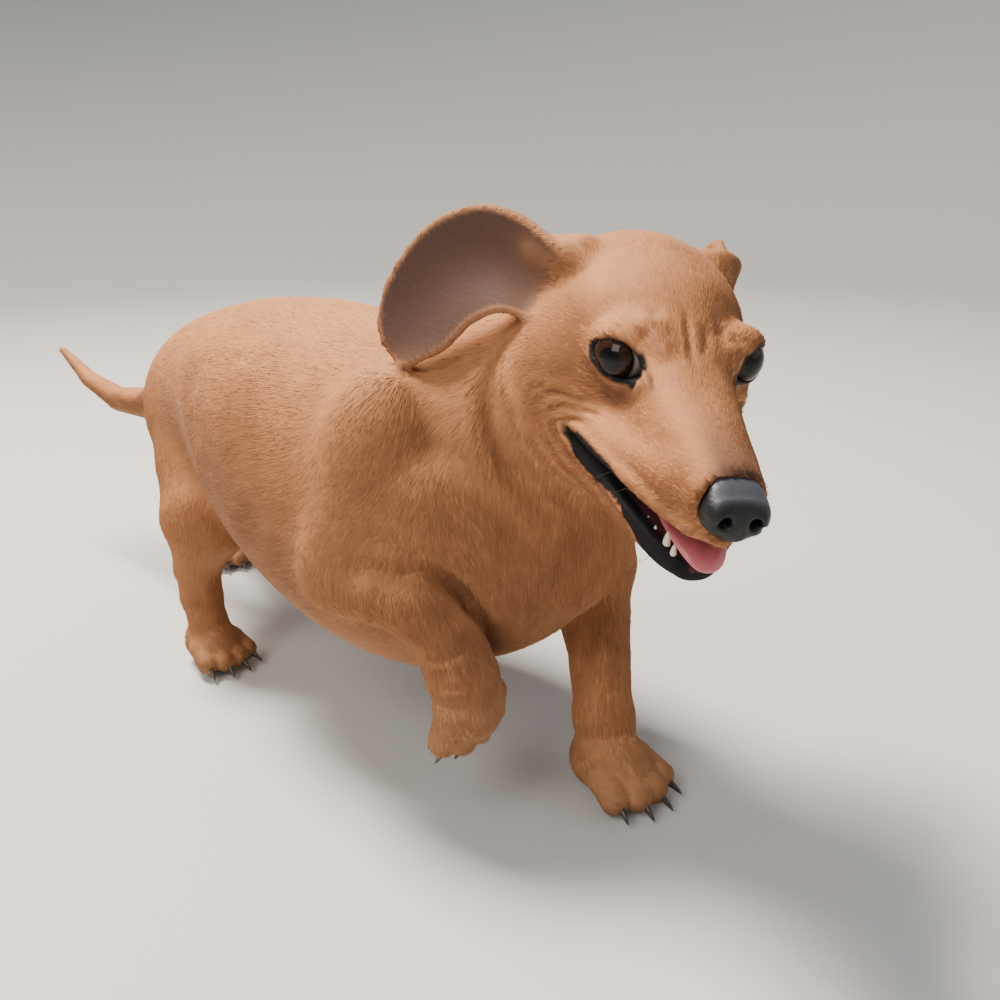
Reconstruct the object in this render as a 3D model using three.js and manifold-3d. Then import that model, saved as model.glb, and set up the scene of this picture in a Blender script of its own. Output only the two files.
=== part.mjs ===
// A smooth-haired dachshund, life size, walking with its right forepaw lifted and its head turned
// to its right. Millimetres, +X towards the nose, +Y to the dog's left, +Z up. The soles stand on Z = 0.
//
// The flesh is one implicit body: eggs, rods and profiled barrels that melt into one another. Each
// node is the skin of that body meshed at its own fineness and parted from its neighbours by thin cuts.

import * as THREE from "three";
import { mergeVertices } from "three/addons/utils/BufferGeometryUtils.js";
import { ParametricGeometry } from "three/addons/geometries/ParametricGeometry.js";
import Module from "manifold-3d";

const wasm = await Module();
wasm.setup();

// Driving dimensions
const BODY_LENGTH = 388; // breastbone to tail root
const BACK_HEIGHT = 227; // floor to the highest point of the back
const CHEST_WIDTH = 164;
const HEAD_SCALE = 1.05; // a head 180 long from nose to the back of the skull
const TAIL_LENGTH = 190;
const EYE_RADIUS = 10.4;
const EYE_SLANT = 0.2; // how far the eyelids' inner corners are turned down
const EAR_THICKNESS = 3.4;
const CLAW_LENGTH = 11; // with its root
const GAP = 0.3; // kept between neighbouring nodes

// Sizes that follow from them
const CHEST_HALF = CHEST_WIDTH / 2;
const BREAST_X = 168; // the front of the breast, ahead of the frame's origin
const TAIL_ROOT_X = BREAST_X - BODY_LENGTH;

const v3 = (x, y, z) => new THREE.Vector3(x, y, z);
const { lerp, clamp, degToRad } = THREE.MathUtils;
const SIDES = [-1, 1]; // right, left
const sideName = (side) => (side < 0 ? "right" : "left");

// Shapes of the implicit body: each gives the distance to its surface, negative inside

// Two shapes melted together over the width k
function melt(a, b, k) {
  const h = Math.max(k - Math.abs(a - b), 0) / k;
  return Math.min(a, b) - h * h * k * 0.25;
}

// An ellipsoid at centre c with radii r, turned by the angle about Z
function egg(c, r, angle = 0) {
  const cos = Math.cos(angle), sin = Math.sin(angle);
  return (p) => {
    const dx = p.x - c.x, dy = p.y - c.y;
    const x = (dx * cos + dy * sin) / r.x;
    const y = (dy * cos - dx * sin) / r.y;
    const z = (p.z - c.z) / r.z;
    const k0 = Math.hypot(x, y, z);
    const k1 = Math.hypot(x / r.x, y / r.y, z / r.z);
    return k0 < 1e-6 ? -Math.min(r.x, r.y, r.z) : (k0 * (k0 - 1)) / k1;
  };
}

// A chain of tapering round rods through the stations [point, radius]
function limb(...stations) {
  return (p) => {
    let best = Infinity;
    for (let i = 0; i + 1 < stations.length; i++) {
      const [a, ra] = stations[i];
      const [b, rb] = stations[i + 1];
      const dx = b.x - a.x, dy = b.y - a.y, dz = b.z - a.z;
      const px = p.x - a.x, py = p.y - a.y, pz = p.z - a.z;
      const t = clamp((px * dx + py * dy + pz * dz) / (dx * dx + dy * dy + dz * dz), 0, 1);
      best = Math.min(best, Math.hypot(px - dx * t, py - dy * t, pz - dz * t) - lerp(ra, rb, t));
    }
    return best;
  };
}

// A barrel along X about y = middle. Each station is [x, top, bottom, half width, fullness]; a cubic
// runs through them, and both ends are closed by round caps of the given length.
function barrel(stations, cap, middle = 0) {
  const xs = stations.map((s) => s[0]);
  const values = stations.flatMap((s) => s.slice(1));
  const curve = new THREE.CubicInterpolant(xs, values, 4, new Float64Array(4));
  const first = xs[0], last = xs[xs.length - 1];
  return (p) => {
    const [top, bottom, half, power] = curve.evaluate(clamp(p.x, first, last));
    const beyond = Math.max(first - p.x, p.x - last, 0);
    const tall = (top - bottom) / 2;
    const y = p.y - middle;
    const z = p.z - (top + bottom) / 2;
    const round = Math.pow(Math.abs(y) / half, power) + Math.pow(Math.abs(z) / tall, power);
    const q = Math.hypot(Math.pow(round, 1 / power), beyond / cap);
    return q < 1e-6 ? -Math.min(half, tall) : Math.hypot(y, z, beyond) * (1 - 1 / q);
  };
}

// Torso: [x, top, bottom, half width, fullness], where 2 is a round section and more is squarer
const torso = barrel(
  [
    [TAIL_ROOT_X + 6, 160, 132, 13, 2],
    [-192, 181, 120, 26, 2],
    [-160, 199, 114, 38, 2.1],
    [-125, 214, 111, 50, 2.2],
    [-85, 224, 105, 63, 2.2],
    [-45, BACK_HEIGHT, 83, 76, 2.2],
    [0, 225, 62, CHEST_HALF, 2.2],
    [40, 220, 49, CHEST_HALF - 2, 2.1],
    [75, 215, 50, 72, 2.1],
    [105, 206, 63, 59, 2.1],
    [132, 190, 80, 48, 2.1],
    [150, 170, 97, 37, 2],
    [BREAST_X - 7, 154, 111, 26, 2],
  ],
  3,
);
const breast = egg(v3(BREAST_X - 23, 0, 132.5), v3(23.7, 36, 31));

// Masses, each with its melting width, melted together in their order
function melted(masses, p) {
  let d = masses[0][0](p);
  for (let i = 1; i < masses.length; i++) d = melt(d, masses[i][0](p), masses[i][1]);
  return d;
}

// The head's own frame: origin between the eyes, X along the muzzle, Y to its left, Z up
const headTurn = new THREE.Euler(degToRad(-7.9), degToRad(9.4), degToRad(-34.5), "ZYX");
const headFrame = new THREE.Matrix4().compose(
  v3(207.7, -7.4, 229.6),
  new THREE.Quaternion().setFromEuler(headTurn),
  v3(HEAD_SCALE, HEAD_SCALE, HEAD_SCALE),
);
const intoHead = headFrame.clone().invert();
const onHead = (x, y, z) => v3(x, y, z).applyMatrix4(headFrame);
const headWay = (x, y, z) => v3(x, y, z).transformDirection(headFrame);

// The eyeball's centre in the head's frame; the left eye sits a little higher than the right
const eyeSpot = (side) => v3(-1.2, side * 21.2 + 2.6, -1.4 + side * 1.3);

const skull = barrel(
  [
    [-86, 20, -22, 24, 2],
    [-72, 25, -36, 34, 2.1],
    [-52, 31, -44, 38, 2],
    [-30, 31, -47, 39, 2],
    [-12, 25.5, -45, 33, 2.1],
    [4, 15, -42, 23.5, 2.2],
    [18, 6, -39, 19.5, 2.3],
    [36, -2.5, -37, 17, 2.4],
    [54, -8.6, -36, 14.5, 2.4],
    [68, -14, -34.5, 12.5, 2.3],
    [74, -18, -33, 10, 2.1],
  ],
  4,
);
const jaw = barrel(
  [
    [-34, -34, -60, 29, 2.2],
    [-10, -34, -60, 29, 2.2],
    [15, -36.5, -59, 24, 2.2],
    [38, -40.5, -59.5, 16.5, 2.2],
    [52, -43, -59.5, 12.5, 2.1],
    [58, -45.5, -58.5, 9, 2],
  ],
  4.5,
  -1.2,
);

// One side of a lip's rounded edge through points given for the dog's left
const UPPER_ROLL = [
  [-4, 30, -33], [18, 26, -32.6], [38, 20.5, -32.8], [52, 15, -34.2], [63, 8.5, -36.2], [68.5, 0, -36],
];
const LOWER_ROLL = [
  [-4, 28, -41], [18, 23, -42.5], [35, 18, -45.6], [47, 13, -48.4], [55, 6.5, -50], [58.5, -1, -50],
];
const ROLL_RADII = [2, 2.8, 3.3, 3.5, 3.2, 2.8];
const lipRoll = (s, line) => limb(...line.map(([x, y, z], i) => [v3(x, s * y, z), ROLL_RADII[i]]));

// The brow over an eye, arched from its outer to its inner corner
function brow(s) {
  const at = (x, y, z) => v3(x, s * y, z).add(eyeSpot(s));
  return limb([at(-5, 5, 6.5), 1.6], [at(1, 1, 10.5), 3.2], [at(8, -5, 12), 3.2], [at(13, -8, 8), 2]);
}
const flews = (s) =>
  limb([v3(-12, s * 22, -34), 9.5], [v3(12, s * 19.5, -32), 9], [v3(50, s * 9.5, -27), 8]);
const headMasses = [
  [skull, 1],
  [jaw, 5],
  ...SIDES.map((s) => [egg(v3(-36, s * 32, -24), v3(25, 13, 22)), 12]), // cheek
  ...SIDES.map((s) => [egg(eyeSpot(s), v3(11.2, 11.2, 11.2)), 6]), // orbit
  ...SIDES.map((s) => [brow(s), 9]),
  ...SIDES.map((s) => [flews(s), 8]),
  ...SIDES.map((s) => [limb([v3(-44, s * 28, 20), 8.5], [v3(-60, s * 40, 18), 5.5]), 8]), // ear root
  ...SIDES.flatMap((s) => [UPPER_ROLL, LOWER_ROLL].map((line) => [lipRoll(s, line), 3])),
];

const headField = (p) => melted(headMasses, p.clone().applyMatrix4(intoHead)) * HEAD_SCALE;

const neck = limb([v3(62, 0, 150), 66], [v3(146, 20, 200), 50]);
const tail = limb(
  [v3(TAIL_ROOT_X + 16, 0, 150), 18],
  [v3(TAIL_ROOT_X - 30, 0, 134), 12],
  [v3(TAIL_ROOT_X - 80, 0, 129), 9.5],
  [v3(TAIL_ROOT_X - 130, 0, 137), 7],
  [v3(TAIL_ROOT_X - TAIL_LENGTH + 18, 0, 154), 3.5],
);

// Legs: [mass, melting width] from the body down
const legs = {
  right_foreleg: [
    [egg(v3(84, -48, 162), v3(36, 32, 54)), 11], // shoulder
    [limb([v3(82, -53, 154), 26], [v3(70, -61, 128), 25.5]), 9],
    [limb([v3(110, -44, 150), 26], [v3(84, -56, 134), 25]), 14], // upper arm
    [limb([v3(114, -50, 160), 15], [v3(130, -40, 146), 15], [v3(138, -26, 122), 14]), 14],
    [limb([v3(64, -67, 117), 18.5], [v3(98, -66, 120), 18], [v3(115, -60, 116), 17]), 5], // forearm
    [limb([v3(115, -60, 116), 17], [v3(124, -54, 103), 17], [v3(128, -50, 84), 17]), 5], // wrist
  ],
  left_foreleg: [
    [egg(v3(88, 48, 162), v3(36, 32, 54)), 11],
    [limb([v3(114, 46, 150), 28], [v3(112, 57, 104), 25]), 14],
    [limb([v3(114, 54, 92), 24], [v3(136, 37, 66), 17], [v3(149, 26, 36), 15]), 9],
    [limb([v3(149, 26, 36), 15], [v3(156, 23, 18), 15]), 6],
  ],
  right_hindleg: [
    [egg(v3(-124, -18, 148), v3(46, 29, 48), 0.35), 26], // rump
    [limb([v3(-116, -32, 122), 30], [v3(-100, -41, 104), 29]), 16], // thigh
    [limb([v3(-102, -45, 92), 24], [v3(-110, -49, 66), 16], [v3(-109, -50, 48), 12.5]), 12], // shank
    [limb([v3(-109, -50, 46), 12.5], [v3(-104, -49, 18), 13.5]), 6],
  ],
  left_hindleg: [
    [egg(v3(-130, 22, 150), v3(50, 32, 50), -0.35), 26],
    [limb([v3(-140, 36, 126), 34], [v3(-158, 42, 106), 30]), 16],
    [limb([v3(-164, 44, 98), 26], [v3(-212, 48, 72), 17], [v3(-244, 49, 56), 13]), 12],
    [limb([v3(-248, 49, 56), 13], [v3(-252, 47, 20), 14.5]), 6],
  ],
};

// A paw: the palm and four toes spread from it along heading, with its pads turned to the way pads
function paw(centre, heading, pads, size) {
  const x = heading.clone().normalize();
  const z = pads.clone().negate().addScaledVector(x, pads.dot(x)).normalize();
  const y = z.clone().cross(x);
  const at = (a, b, c) =>
    centre.clone().addScaledVector(x, a * size).addScaledVector(y, b * size).addScaledVector(z, c * size);
  const toes = [-1.5, -0.5, 0.5, 1.5].map((n) => {
    const outer = Math.abs(n) > 1;
    return { root: at(2, n * 7, 3), tip: at(outer ? 15 : 20, n * 9.5, -3), out: at(40, n * 14, -10) };
  });
  const masses = [
    [limb([at(-8, 0, 2), 15.5 * size], [at(5, 0, 0), 16 * size]), 6],
    ...toes.map((toe) => [limb([toe.root, 8.5 * size], [toe.tip, 7.6 * size]), 3]),
  ];
  return { masses, toes, centre, size };
}
const paws = {
  right_forepaw: paw(v3(126, -45, 67), v3(0.1, 0.12, -1), v3(-1, 0, -0.2), 1.05),
  left_forepaw: paw(v3(160, 21, 13), v3(1, -0.1, 0), v3(0, 0, -1), 1.05),
  right_hindpaw: paw(v3(-104, -48, 12), v3(1, 0.02, 0), v3(0, 0, -1), 0.92),
  left_hindpaw: paw(v3(-246, 46, 12), v3(1, 0.02, 0), v3(0, 0, -1), 0.98),
};

const trunkMasses = [[torso, 1], [breast, 8], [neck, 30], [tail, 16], ...Object.values(legs).flat()];
const bodyMasses = [...trunkMasses, ...Object.values(paws).flatMap((one) => one.masses)];

// The skin of the whole dog, of the dog without its paws, and of one leg alone with its paw
const flesh = (p) => melt(melted(bodyMasses, p), headField(p), 14);
const pawless = (p) => melt(melted(trunkMasses, p), headField(p), 14);
const legAlone = (leg, form) => (p) => melted([...leg, ...form.masses], p);

// Meshing

// The surface of a field inside a box as a closed mesh, one vertex for each crossed cell
function skinIn(box, cell, field) {
  const [nx, ny, nz] = box.getSize(v3(0, 0, 0)).divide(cell).toArray().map((n) => Math.ceil(n) + 1);
  const index = (i, j, k) => (k * ny + j) * nx + i;
  const values = new Float64Array(nx * ny * nz).fill(cell.x / 2);
  const p = v3(0, 0, 0);
  for (let k = 1; k < nz - 1; k++)
    for (let j = 1; j < ny - 1; j++)
      for (let i = 1; i < nx - 1; i++) {
        p.set(i, j, k).multiply(cell).add(box.min);
        values[index(i, j, k)] = field(p) || 1e-9;
      }
  const step = [index(1, 0, 0), index(0, 1, 0), index(0, 0, 1)];
  untangle(values, [nx, ny, nz], step);
  const unit = [v3(1, 0, 0), v3(0, 1, 0), v3(0, 0, 1)];
  const vertices = [];
  const ids = new Map();
  const faces = [];
  for (let k = 0; k < nz - 1; k++)
    for (let j = 0; j < ny - 1; j++)
      for (let i = 0; i < nx - 1; i++) {
        const at = index(i, j, k);
        const sum = v3(0, 0, 0);
        let crossings = 0;
        for (let edge = 0; edge < 12; edge++) {
          const axis = edge >> 2;
          const u = (axis + 1) % 3, w = (axis + 2) % 3;
          const from = at + (edge & 1) * step[u] + ((edge >> 1) & 1) * step[w];
          const a = values[from];
          const b = values[from + step[axis]];
          if (a < 0 === b < 0) continue;
          sum.addScaledVector(unit[axis], a / (a - b));
          sum.addScaledVector(unit[u], edge & 1).addScaledVector(unit[w], (edge >> 1) & 1);
          crossings++;
        }
        if (crossings === 0) continue;
        ids.set(at, vertices.length);
        vertices.push(sum.divideScalar(crossings).add(v3(i, j, k)).multiply(cell).add(box.min));
      }
  for (const vertex of vertices) settle(vertex, field, Math.min(...cell.toArray()));
  for (let k = 0; k < nz - 1; k++)
    for (let j = 0; j < ny - 1; j++)
      for (let i = 0; i < nx - 1; i++)
        for (let axis = 0; axis < 3; axis++) {
          const place = [i, j, k];
          if (place[(axis + 1) % 3] === 0 || place[(axis + 2) % 3] === 0) continue;
          const at = index(i, j, k);
          const inside = values[at] < 0;
          if (inside === values[at + step[axis]] < 0) continue;
          const u = step[(axis + 1) % 3];
          const w = step[(axis + 2) % 3];
          const ring = [ids.get(at - u - w), ids.get(at - w), ids.get(at), ids.get(at - u)];
          if (!inside) ring.reverse();
          const [a, b, c, d] = ring;
          const short = vertices[a].distanceTo(vertices[c]) < vertices[b].distanceTo(vertices[d]);
          faces.push(...(short ? [a, b, c, a, c, d] : [a, b, d, b, c, d]));
        }
  const geometry = new THREE.BufferGeometry().setFromPoints(vertices);
  geometry.setIndex(faces);
  return geometry;
}

// Where two inside corners face each other across a grid square, two sheets would touch along an
// edge, so the corner nearer the surface is put outside, until there is no such square
function untangle(values, size, step) {
  for (let tangled = true; tangled; ) {
    tangled = false;
    for (let at = 0; at < values.length; at++)
      for (let axis = 0; axis < 3; axis++) {
        const u = (axis + 1) % 3, w = (axis + 2) % 3;
        if (Math.floor(at / step[u]) % size[u] === size[u] - 1) continue;
        if (Math.floor(at / step[w]) % size[w] === size[w] - 1) continue;
        const [a, b, c, d] = [at, at + step[u], at + step[u] + step[w], at + step[w]];
        const facing = values[a] < 0 ? [a, c] : [b, d];
        const others = values[a] < 0 ? [b, d] : [a, c];
        if (facing.some((n) => values[n] >= 0) || others.some((n) => values[n] < 0)) continue;
        values[values[facing[0]] > values[facing[1]] ? facing[0] : facing[1]] = 1e-6;
        tangled = true;
      }
  }
}

// Moves a vertex that lies near the field's surface onto it, by at most a third of a cell
function settle(vertex, field, cell) {
  const h = cell * 0.05;
  const d = field(vertex);
  if (Math.abs(d) > cell * 0.4) return;
  const slope = v3(
    field(v3(vertex.x + h, vertex.y, vertex.z)) - field(v3(vertex.x - h, vertex.y, vertex.z)),
    field(v3(vertex.x, vertex.y + h, vertex.z)) - field(v3(vertex.x, vertex.y - h, vertex.z)),
    field(v3(vertex.x, vertex.y, vertex.z + h)) - field(v3(vertex.x, vertex.y, vertex.z - h)),
  ).divideScalar(2 * h);
  const move = -d / Math.max(slope.lengthSq(), 0.25);
  vertex.addScaledVector(slope, clamp(move, -cell / 3, cell / 3));
}

function solid(geometry) {
  geometry.deleteAttribute("normal");
  geometry.deleteAttribute("uv");
  const merged = mergeVertices(geometry, 1e-4);
  const index = merged.index.array;
  const kept = [];
  for (let i = 0; i < index.length; i += 3) {
    const [a, b, c] = [index[i], index[i + 1], index[i + 2]];
    if (a !== b && b !== c && c !== a) kept.push(a, b, c);
  }
  const vertProperties = merged.attributes.position.array;
  return new wasm.Manifold(new wasm.Mesh({ numProp: 3, vertProperties, triVerts: new Uint32Array(kept) }));
}

const boxOf = (x0, x1, y0, y1, z0, z1) => new THREE.Box3(v3(x0, y0, z0), v3(x1, y1, z1));
const skin = (box, cell, field = flesh) => solid(skinIn(box, v3(...cell), field));

// The part of a solid in front of the plane through a point, set back from it by half the gap
function ahead(body, point, normal, gap = GAP / 2) {
  const n = normal.clone().normalize();
  return body.trimByPlane([n.x, n.y, n.z], n.dot(point) + gap);
}
const behind = (body, point, normal) => ahead(body, point, normal.clone().negate());

// The piece of a solid with the greatest measure
function pick(body, measure) {
  return body.decompose().reduce((a, b) => (measure(a) > measure(b) ? a : b));
}
const largest = (body) => pick(body, (piece) => piece.volume());

// An ellipsoid and a round-ended rod, which window a leg or the head out of the body
function bowl(centre, radii, grow, frame = new THREE.Matrix4()) {
  const ball = new THREE.SphereGeometry(1, 14, 8).scale(radii.x + grow, radii.y + grow, radii.z + grow);
  return solid(ball.translate(centre.x, centre.y, centre.z).applyMatrix4(frame));
}
function rod(a, b, radius) {
  const along = b.clone().sub(a);
  const geometry = new THREE.CapsuleGeometry(radius, along.length(), 2, 9);
  geometry.applyQuaternion(new THREE.Quaternion().setFromUnitVectors(v3(0, 1, 0), along.normalize()));
  const middle = a.clone().add(b).multiplyScalar(0.5);
  return solid(geometry.translate(middle.x, middle.y, middle.z));
}

// Nodes
const dog = new THREE.Group();
dog.name = "dachshund";

const finishes = {
  coat: { color: 0xb5713f, roughness: 0.75, metalness: 0 },
  ear: { color: 0x9c5d3a, roughness: 0.8, metalness: 0 },
  nose: { color: 0x2a292d, roughness: 0.4, metalness: 0 },
  eye: { color: 0x2a1710, roughness: 0.08, metalness: 0 },
  tongue: { color: 0xc4747c, roughness: 0.4, metalness: 0 },
};

function add(name, body, finish) {
  const mesh = largest(body).getMesh();
  const geometry = new THREE.BufferGeometry();
  geometry.setAttribute("position", new THREE.Float32BufferAttribute(mesh.vertProperties, 3));
  geometry.setIndex(Array.from(mesh.triVerts));
  geometry.computeVertexNormals();
  const node = new THREE.Mesh(geometry, new THREE.MeshStandardMaterial(finishes[finish]));
  node.name = name;
  dog.add(node);
}

const windows = {
  right_foreleg: {
    bowl: [v3(88, -92, 148), v3(58, 46, 54)],
    rods: [v3(66, -68, 118), v3(98, -67, 120), v3(116, -60, 114), v3(127, -52, 84), v3(127, -48, 60)],
    radius: 24,
    box: [15, 175, -125, -8, 10, 225],
    wrist: [v3(126, -49, 86), v3(0.05, 0.05, -1)],
  },
  left_foreleg: {
    bowl: [v3(104, 92, 142), v3(60, 46, 56)],
    rods: [v3(112, 60, 98), v3(135, 38, 67), v3(154, 24, 18)],
    radius: 26,
    box: [30, 215, -15, 125, -25, 225],
    wrist: [v3(151, 25, 30), v3(0.2, -0.1, -1)],
  },
  right_hindleg: {
    bowl: [v3(-112, -84, 120), v3(68, 58, 58)],
    rods: [v3(-102, -48, 92), v3(-110, -49, 60), v3(-104, -49, 20)],
    radius: 29,
    box: [-205, -40, -120, -5, -25, 205],
    wrist: [v3(-108, -49, 30), v3(0.2, 0, -1)],
  },
  left_hindleg: {
    bowl: [v3(-142, 86, 122), v3(72, 58, 58)],
    rods: [v3(-164, 46, 98), v3(-212, 48, 72), v3(-252, 48, 46), v3(-252, 47, 20)],
    radius: 30,
    box: [-290, -60, 5, 120, -25, 205],
    wrist: [v3(-252, 47, 32), v3(0.15, 0, -1)],
  },
};
function windowOf({ bowl: [centre, radii], rods, radius }, grow) {
  let window = bowl(centre, radii, grow);
  for (let i = 1; i < rods.length; i++) window = window.add(rod(rods[i - 1], rods[i], radius + grow));
  return window;
}

const pawWindow = ({ centre, size }) => bowl(centre, v3(36, 26, 36).multiplyScalar(size), 0);

const NECK_BASE = [v3(100, 5, 178), v3(0.62, 0.05, 0.78)];
const headWindow = (grow) => bowl(v3(-4, 0, -4), v3(94, 69, 62), grow, headFrame);
const TAIL_CUT = [v3(TAIL_ROOT_X - 2, 0, 146), v3(-1, 0, 0)];

let trunk = skin(boxOf(-262, 190, -110, 110, 20, 250), [24, 16, 16], pawless);
trunk = behind(behind(trunk, ...NECK_BASE), ...TAIL_CUT);
for (const window of Object.values(windows)) trunk = trunk.subtract(windowOf(window, GAP));
add("torso", trunk, "coat");

add("tail", ahead(skin(boxOf(-440, -190, -40, 40, 105, 205), [14, 5, 5]), ...TAIL_CUT), "coat");

for (const [name, window] of Object.entries(windows)) {
  const flank = skin(boxOf(...window.box), [10, 9, 11]).intersect(windowOf(window, 0));
  add(name, behind(flank, ...window.wrist), "coat");
}

// Paws, with their claws fused on
for (const [name, form] of Object.entries(paws)) {
  const { toes, centre, size } = form;
  const legName = name.replace("paw", "leg");
  const reach = 44 * size;
  const around = new THREE.Box3().setFromCenterAndSize(centre, v3(2 * reach, 1.7 * reach, 2 * reach));
  let foot = ahead(skin(around, [6, 5.2, 6], legAlone(legs[legName], form)), ...windows[legName].wrist);
  foot = foot.intersect(pawWindow(form));
  foot = largest(ahead(foot, v3(0, 0, 0), v3(0, 0, 1), 0));
  for (const toe of toes) {
    const way = toe.out.clone().sub(toe.tip).normalize();
    const claw = new THREE.ConeGeometry(2.3 * size, CLAW_LENGTH, 6).translate(0, CLAW_LENGTH / 2, 0);
    claw.applyQuaternion(new THREE.Quaternion().setFromUnitVectors(v3(0, 1, 0), way));
    const root = toe.tip.clone().addScaledVector(way, 3 * size);
    foot = foot.add(solid(claw.translate(root.x, root.y, root.z)));
  }
  add(name, foot, "coat");
}

// Head

// A flat outline in the head's side view, pushed through it from side to side
function sideCut(outline, halfWidth) {
  const shape = new THREE.Shape(outline.map(([x, z]) => new THREE.Vector2(x, z)));
  const slab = new THREE.ExtrudeGeometry(shape, { depth: 2 * halfWidth, bevelEnabled: false });
  return solid(slab.rotateX(Math.PI / 2).translate(0, halfWidth, 0).applyMatrix4(headFrame));
}
const UPPER_LIP = [
  [-9, -35.2], [20, -35], [40, -35.6], [53, -36.6], [62, -38], [70, -39.5], [78, -38.5], [95, -36],
];
const LOWER_LIP = [[95, -55], [58, -49.5], [46, -45.6], [30, -40], [12, -36.9], [-9, -36.2]];
const mouth = sideCut([...UPPER_LIP, ...LOWER_LIP], 45);
const jawRoom = sideCut([[9 - GAP, -36], [22.6, -36.4], [22.6, -80], [9 - GAP, -80]], 50);

const MUZZLE_CUT = [onHead(22, 0, 0), headWay(1, 0, 0)];
const JAW_CUT = [onHead(9, 0, 0), headWay(1, 0, 0)];
const NOSE_CUT = [onHead(69.5, 0, -25), headWay(0.96, 0, 0.28)];

// A box round points of the head, given by its ranges in the head's own frame
const headBox = (xs, ys, zs) =>
  new THREE.Box3().setFromPoints(xs.flatMap((x) => ys.flatMap((y) => zs.map((z) => onHead(x, y, z)))));

const eyeAxis = (side) => headWay(0.84, side * 0.53, 0.1);
const eyeCentre = (side) => eyeSpot(side).applyMatrix4(headFrame);
function ball(side, radius) {
  const geometry = new THREE.SphereGeometry(radius, 14, 8).rotateX(Math.PI / 2);
  geometry.applyQuaternion(new THREE.Quaternion().setFromUnitVectors(v3(0, 0, 1), eyeAxis(side)));
  const c = eyeCentre(side);
  return solid(geometry.translate(c.x, c.y, c.z));
}

// Eyelids: a shell round the eyeball and the almond opening through it, whose inner corner is lower
function lids(side) {
  const almond = new THREE.Shape();
  almond.moveTo(-10.4, 0);
  almond.quadraticCurveTo(0, 15.5, 10.4, 0);
  almond.quadraticCurveTo(0, -12, -10.4, 0);
  const slot = new THREE.ExtrudeGeometry(almond, { depth: 30, bevelEnabled: false, curveSegments: 5 });
  const z = eyeAxis(side);
  const y = headWay(0, 0, 1).projectOnPlane(z).normalize();
  const frame = new THREE.Matrix4().makeBasis(y.clone().cross(z), y, z).setPosition(eyeCentre(side));
  slot.rotateZ(side * EYE_SLANT).translate(0, -1, 0).applyMatrix4(frame);
  return { shell: ball(side, EYE_RADIUS + 2), opening: solid(slot) };
}

// Ears, both flipped back: a leaf from its front edge to its rear edge, hollowed like a cup
const ears = {
  right: {
    side: -1,
    front: [
      [-34, 24.7, 17], [-42, 36.3, 22.9], [-63, 48.9, 28.4], [-79, 63.1, 27], [-88, 81.2, 13.4],
      [-87, 95.4, -14.6], [-78, 94.7, -30.7],
    ],
    rear: [[-34, 26.4, -3.9], [-44, 41.6, -5.8], [-52, 53.6, -5.8], [-57, 63.2, -13.1], [-60, 72.2, -25.4]],
    tip: [-67, 86.2, -37.4],
    cup: [-8, -3.8, -2.8],
  },
  left: {
    side: 1,
    front: [
      [-48, 23.2, 15.2], [-60, 34.2, 24], [-72, 38.6, 25.4], [-92, 41, 14], [-106, 42.2, -9.5],
      [-107, 45.4, -33.8],
    ],
    rear: [[-42, 25.8, -4], [-54, 36.2, -9], [-64, 39, -15.3], [-74, 42.6, -29.6], [-84, 45.4, -45.9]],
    tip: [-99, 46.8, -54],
    cup: [5, 6.4, -2.2],
  },
};

// The point of an ear's middle surface at u from root to tip and v from the front edge to the rear
function earSurface({ side, front, rear, tip, cup }) {
  const place = ([x, y, z]) => onHead(x, side * y, z);
  const [a, b] = [front, rear].map((edge) => new THREE.CatmullRomCurve3([...edge, tip].map(place)));
  const hollow = headWay(cup[0], side * cup[1], cup[2]).multiplyScalar(Math.hypot(...cup));
  return (u, v) =>
    a.getPoint(u).lerp(b.getPoint(u), v).addScaledVector(hollow, Math.sin(Math.PI * v) * (1 - u) ** 0.8);
}

// A leaf of the given thickness and relative width on a surface, from u = start to a rounded tip
function leaf(surface, thickness, width, start) {
  const ROWS = 10;
  const nudge = 0.01;
  const point = (s, t, target) => {
    const u = lerp(start, 1, Math.max(s * ROWS - 1, 0) / (ROWS - 1));
    const v = s === 0 ? 0.5 : 0.5 - 0.5 * width * Math.cos(2 * Math.PI * t);
    const along = surface(Math.min(u + nudge, 1), v).sub(surface(Math.max(u - nudge, 0), v));
    const across = surface(u, Math.min(v + nudge, 1)).sub(surface(u, Math.max(v - nudge, 0)));
    const normal = along.cross(across).normalize();
    const rim = s === 0 ? 0 : Math.sin(2 * Math.PI * t) * Math.sqrt(1 - u ** 4);
    target.copy(surface(u, v)).addScaledVector(normal, thickness * 0.5 * rim);
  };
  return solid(new ParametricGeometry(point, ROWS, 12));
}
const SLOT_WIDTH = 1.07; // of the ear's width, which keeps the gap at its edges
const earLeaves = Object.entries(ears).map(([name, shape]) => {
  const surface = earSurface(shape);
  const slot = leaf(surface, EAR_THICKNESS + 2 * GAP, SLOT_WIDTH, 0.016);
  return { name, flap: leaf(surface, EAR_THICKNESS, 1, 0.02), slot };
});

let crown = skin(headBox([-92, 40], [-57, 57], [-72, 46]), [8.5, 8, 8]).intersect(headWindow(0));
for (const side of SIDES) {
  const { shell, opening } = lids(side);
  crown = crown.add(shell).subtract(opening);
}
crown = largest(crown.subtract(mouth));
for (const side of SIDES) crown = crown.subtract(ball(side, EYE_RADIUS + GAP));
crown = behind(crown, ...MUZZLE_CUT).subtract(jawRoom);

let throat = ahead(skin(boxOf(25, 245, -110, 110, 60, 300), [12, 12, 12]), ...NECK_BASE);
throat = throat.subtract(headWindow(GAP / HEAD_SCALE));
for (const side of SIDES) throat = throat.subtract(windowOf(windows[`${sideName(side)}_foreleg`], GAP));

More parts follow.
